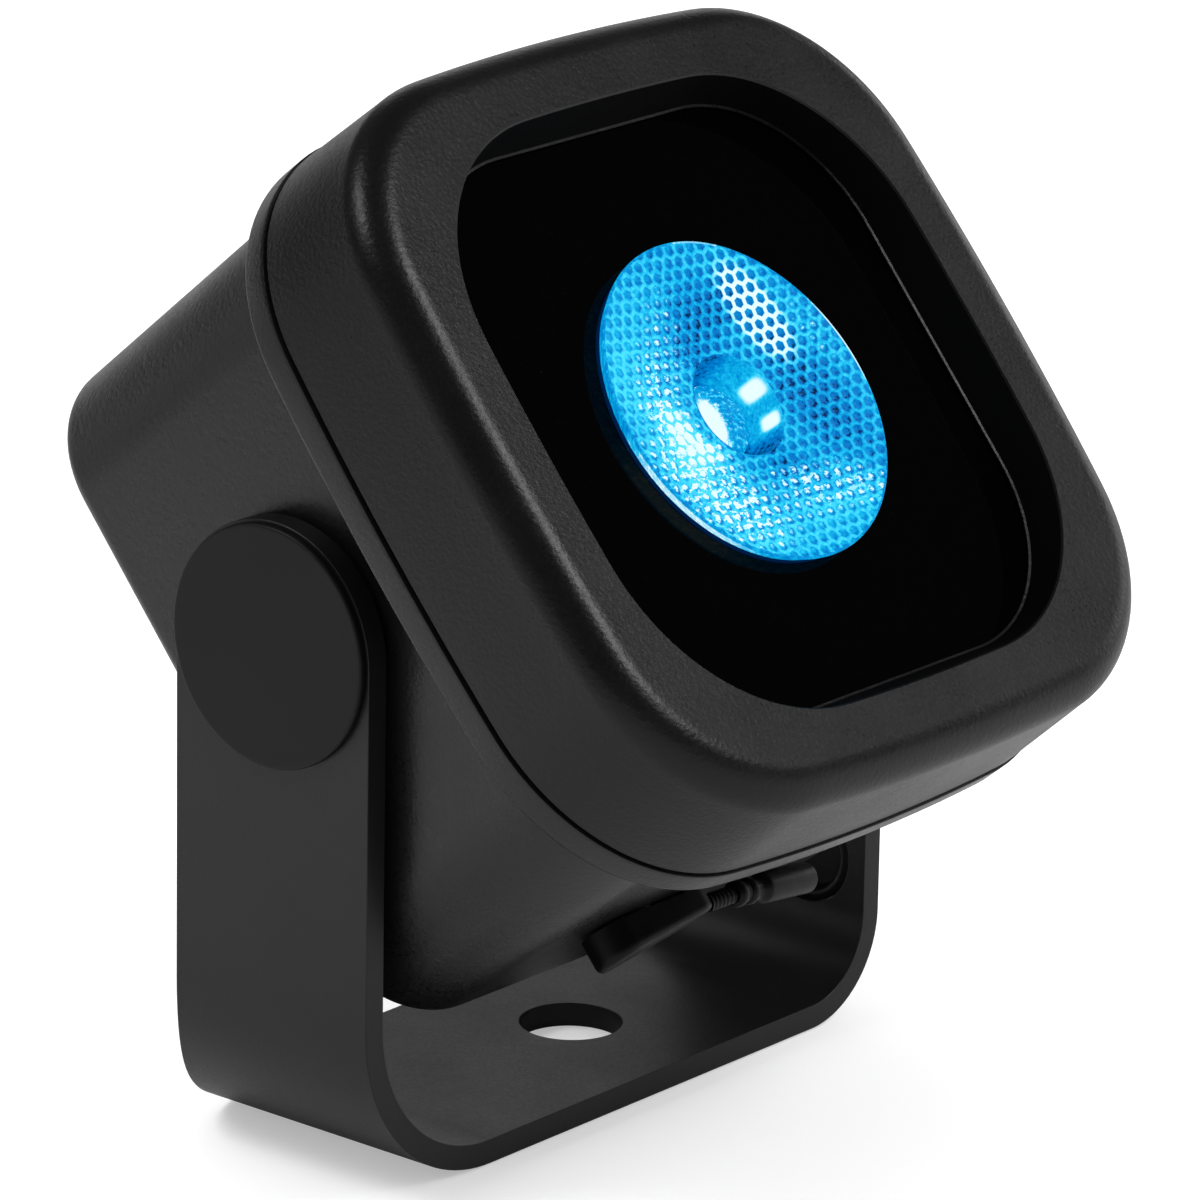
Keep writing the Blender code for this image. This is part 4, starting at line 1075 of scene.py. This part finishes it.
def make_floor():
    """White paper; a glow that only the camera sees grows away from the lamp."""
    bm = bmesh.new()
    rings = [[bm.verts.new((*p, 0)) for p in circle(r, 64)] for r in (0.2, 1.0, 6.0)]
    bm.faces.new(rings[0])
    for low, high in zip(rings, rings[1:]):
        for i in range(64):
            j = (i + 1) % 64
            bm.faces.new((low[i], high[i], high[j], low[j]))
    f = Finish("studio_paper", Roughness=0.9, Emission_Color=(1, 1, 1, 1))
    mottle = f.ramp(f.noise(0.2, 2), [(0.3, (0.66, 0.66, 0.66)), (0.7, (0.69, 0.69, 0.69))])
    f.link(mottle, "Base Color")
    seen = f.node("ShaderNodeLightPath", {}).outputs["Is Camera Ray"]
    away = f.node("ShaderNodeVectorMath", {0: f.where}, operation='LENGTH').outputs["Value"]
    f.link(f.sum(seen, f.span(away, 0.05, 0.15, 0.38, 0.60, smooth=True), 'MULTIPLY'),
           "Emission Strength")
    mesh = bpy.data.meshes.new("studio_floor")
    bm.normal_update()
    bm.to_mesh(mesh)
    bm.free()
    mesh.materials.append(f.material)
    floor = new_object("studio_floor", mesh)
    floor.location = (0, 0, -0.2 * MM)


def make_world():
    """White room seen directly and lighting evenly; reflections fade to dark overhead."""
    world = bpy.data.worlds.new("studio")
    bpy.context.scene.world = world
    world.use_nodes = True
    tree = world.node_tree
    background = tree.nodes["Background"]
    path = tree.nodes.new("ShaderNodeLightPath")
    where = tree.nodes.new("ShaderNodeTexCoord")
    split = tree.nodes.new("ShaderNodeSeparateXYZ")
    tree.links.new(where.outputs["Generated"], split.inputs[0])
    height = tree.nodes.new("ShaderNodeValToRGB")
    tree.links.new(split.outputs["Z"], height.inputs["Fac"])
    marks = height.color_ramp.elements
    levels = ((0.0, 1.0), (0.04, 0.85), (0.12, 0.09), (1.0, 0.04))
    while len(marks) < len(levels):
        marks.new(0.5)
    for mark, (at, level) in zip(marks, levels):
        mark.position = at
        mark.color = (level, level, level, 1)
    glossy = tree.nodes.new("ShaderNodeMix")
    glossy.data_type = 'RGBA'
    tree.links.new(path.outputs["Is Glossy Ray"], glossy.inputs[0])
    glossy.inputs[6].default_value = (0.85, 0.85, 0.85, 1)
    tree.links.new(height.outputs["Color"], glossy.inputs[7])
    seen = tree.nodes.new("ShaderNodeMix")
    seen.data_type = 'RGBA'
    tree.links.new(path.outputs["Is Camera Ray"], seen.inputs[0])
    tree.links.new(glossy.outputs[2], seen.inputs[6])
    seen.inputs[7].default_value = (1, 1, 1, 1)
    tree.links.new(seen.outputs[2], background.inputs["Color"])


def soft_box(name, direction, distance, size, power, aim=head_point(0, 0.02, 0), spread=180):
    """Rectangular area light that faces the lamp head, or another point."""
    way = Vector(direction).normalized()
    light = bpy.data.lights.new(name, 'AREA')
    light.shape = 'RECTANGLE'
    light.size, light.size_y = size
    light.energy = power
    light.spread = radians(spread)
    lamp = new_object(name, light)
    lamp.location = aim + way * distance
    lamp.rotation_euler = way.to_track_quat('Z', 'Y').to_euler()


def make_camera():
    """Long lens from the front left, a little above the lamp, rolled by a degree."""
    azimuth, elevation, roll = (radians(angle) for angle in CAMERA_ANGLES)
    toward = Vector((sin(azimuth) * cos(elevation), -cos(azimuth) * cos(elevation),
                     sin(elevation)))
    right = Vector((0, 0, 1)).cross(toward).normalized()
    upward = toward.cross(right)
    across = right * cos(roll) + upward * sin(roll)
    upward = upward * cos(roll) - right * sin(roll)
    camera = new_object("camera", bpy.data.cameras.new("camera"))
    camera.data.sensor_width = 36
    camera.data.lens = FOCAL_LENGTH
    camera.data.clip_end = 50
    camera.matrix_world = (Matrix.Translation(CAMERA_TARGET + toward * CAMERA_DISTANCE)
                           @ Matrix((across, upward, toward)).transposed().to_4x4())
    bpy.context.scene.camera = camera


# ---------------------------------------------------------------- assembly
make_camera()
dress_frame()
make_cover()
make_housing()
make_cover_screws()
make_window()
make_lens()
make_bracket()
make_hole_plug()
make_caps()
make_lead()
make_floor()
make_world()
soft_box("key_box", (0.35, -0.60, 0.70), 0.90, (0.35, 0.35), 3.9)
soft_box("side_box", (0.98, -0.15, 0.25), 0.85, (0.60, 0.30), 1.0)
soft_box("back_box", (0.73, 0.61, 0.30), 0.90, (0.50, 0.25), 0.35)
soft_box("floor_box", (-0.25, 0.20, 1.0), 0.40, (0.20, 0.20), 0.30, Vector((-0.15, 0.12, 0)), 70)
bpy.context.scene.view_settings.view_transform = 'Standard'
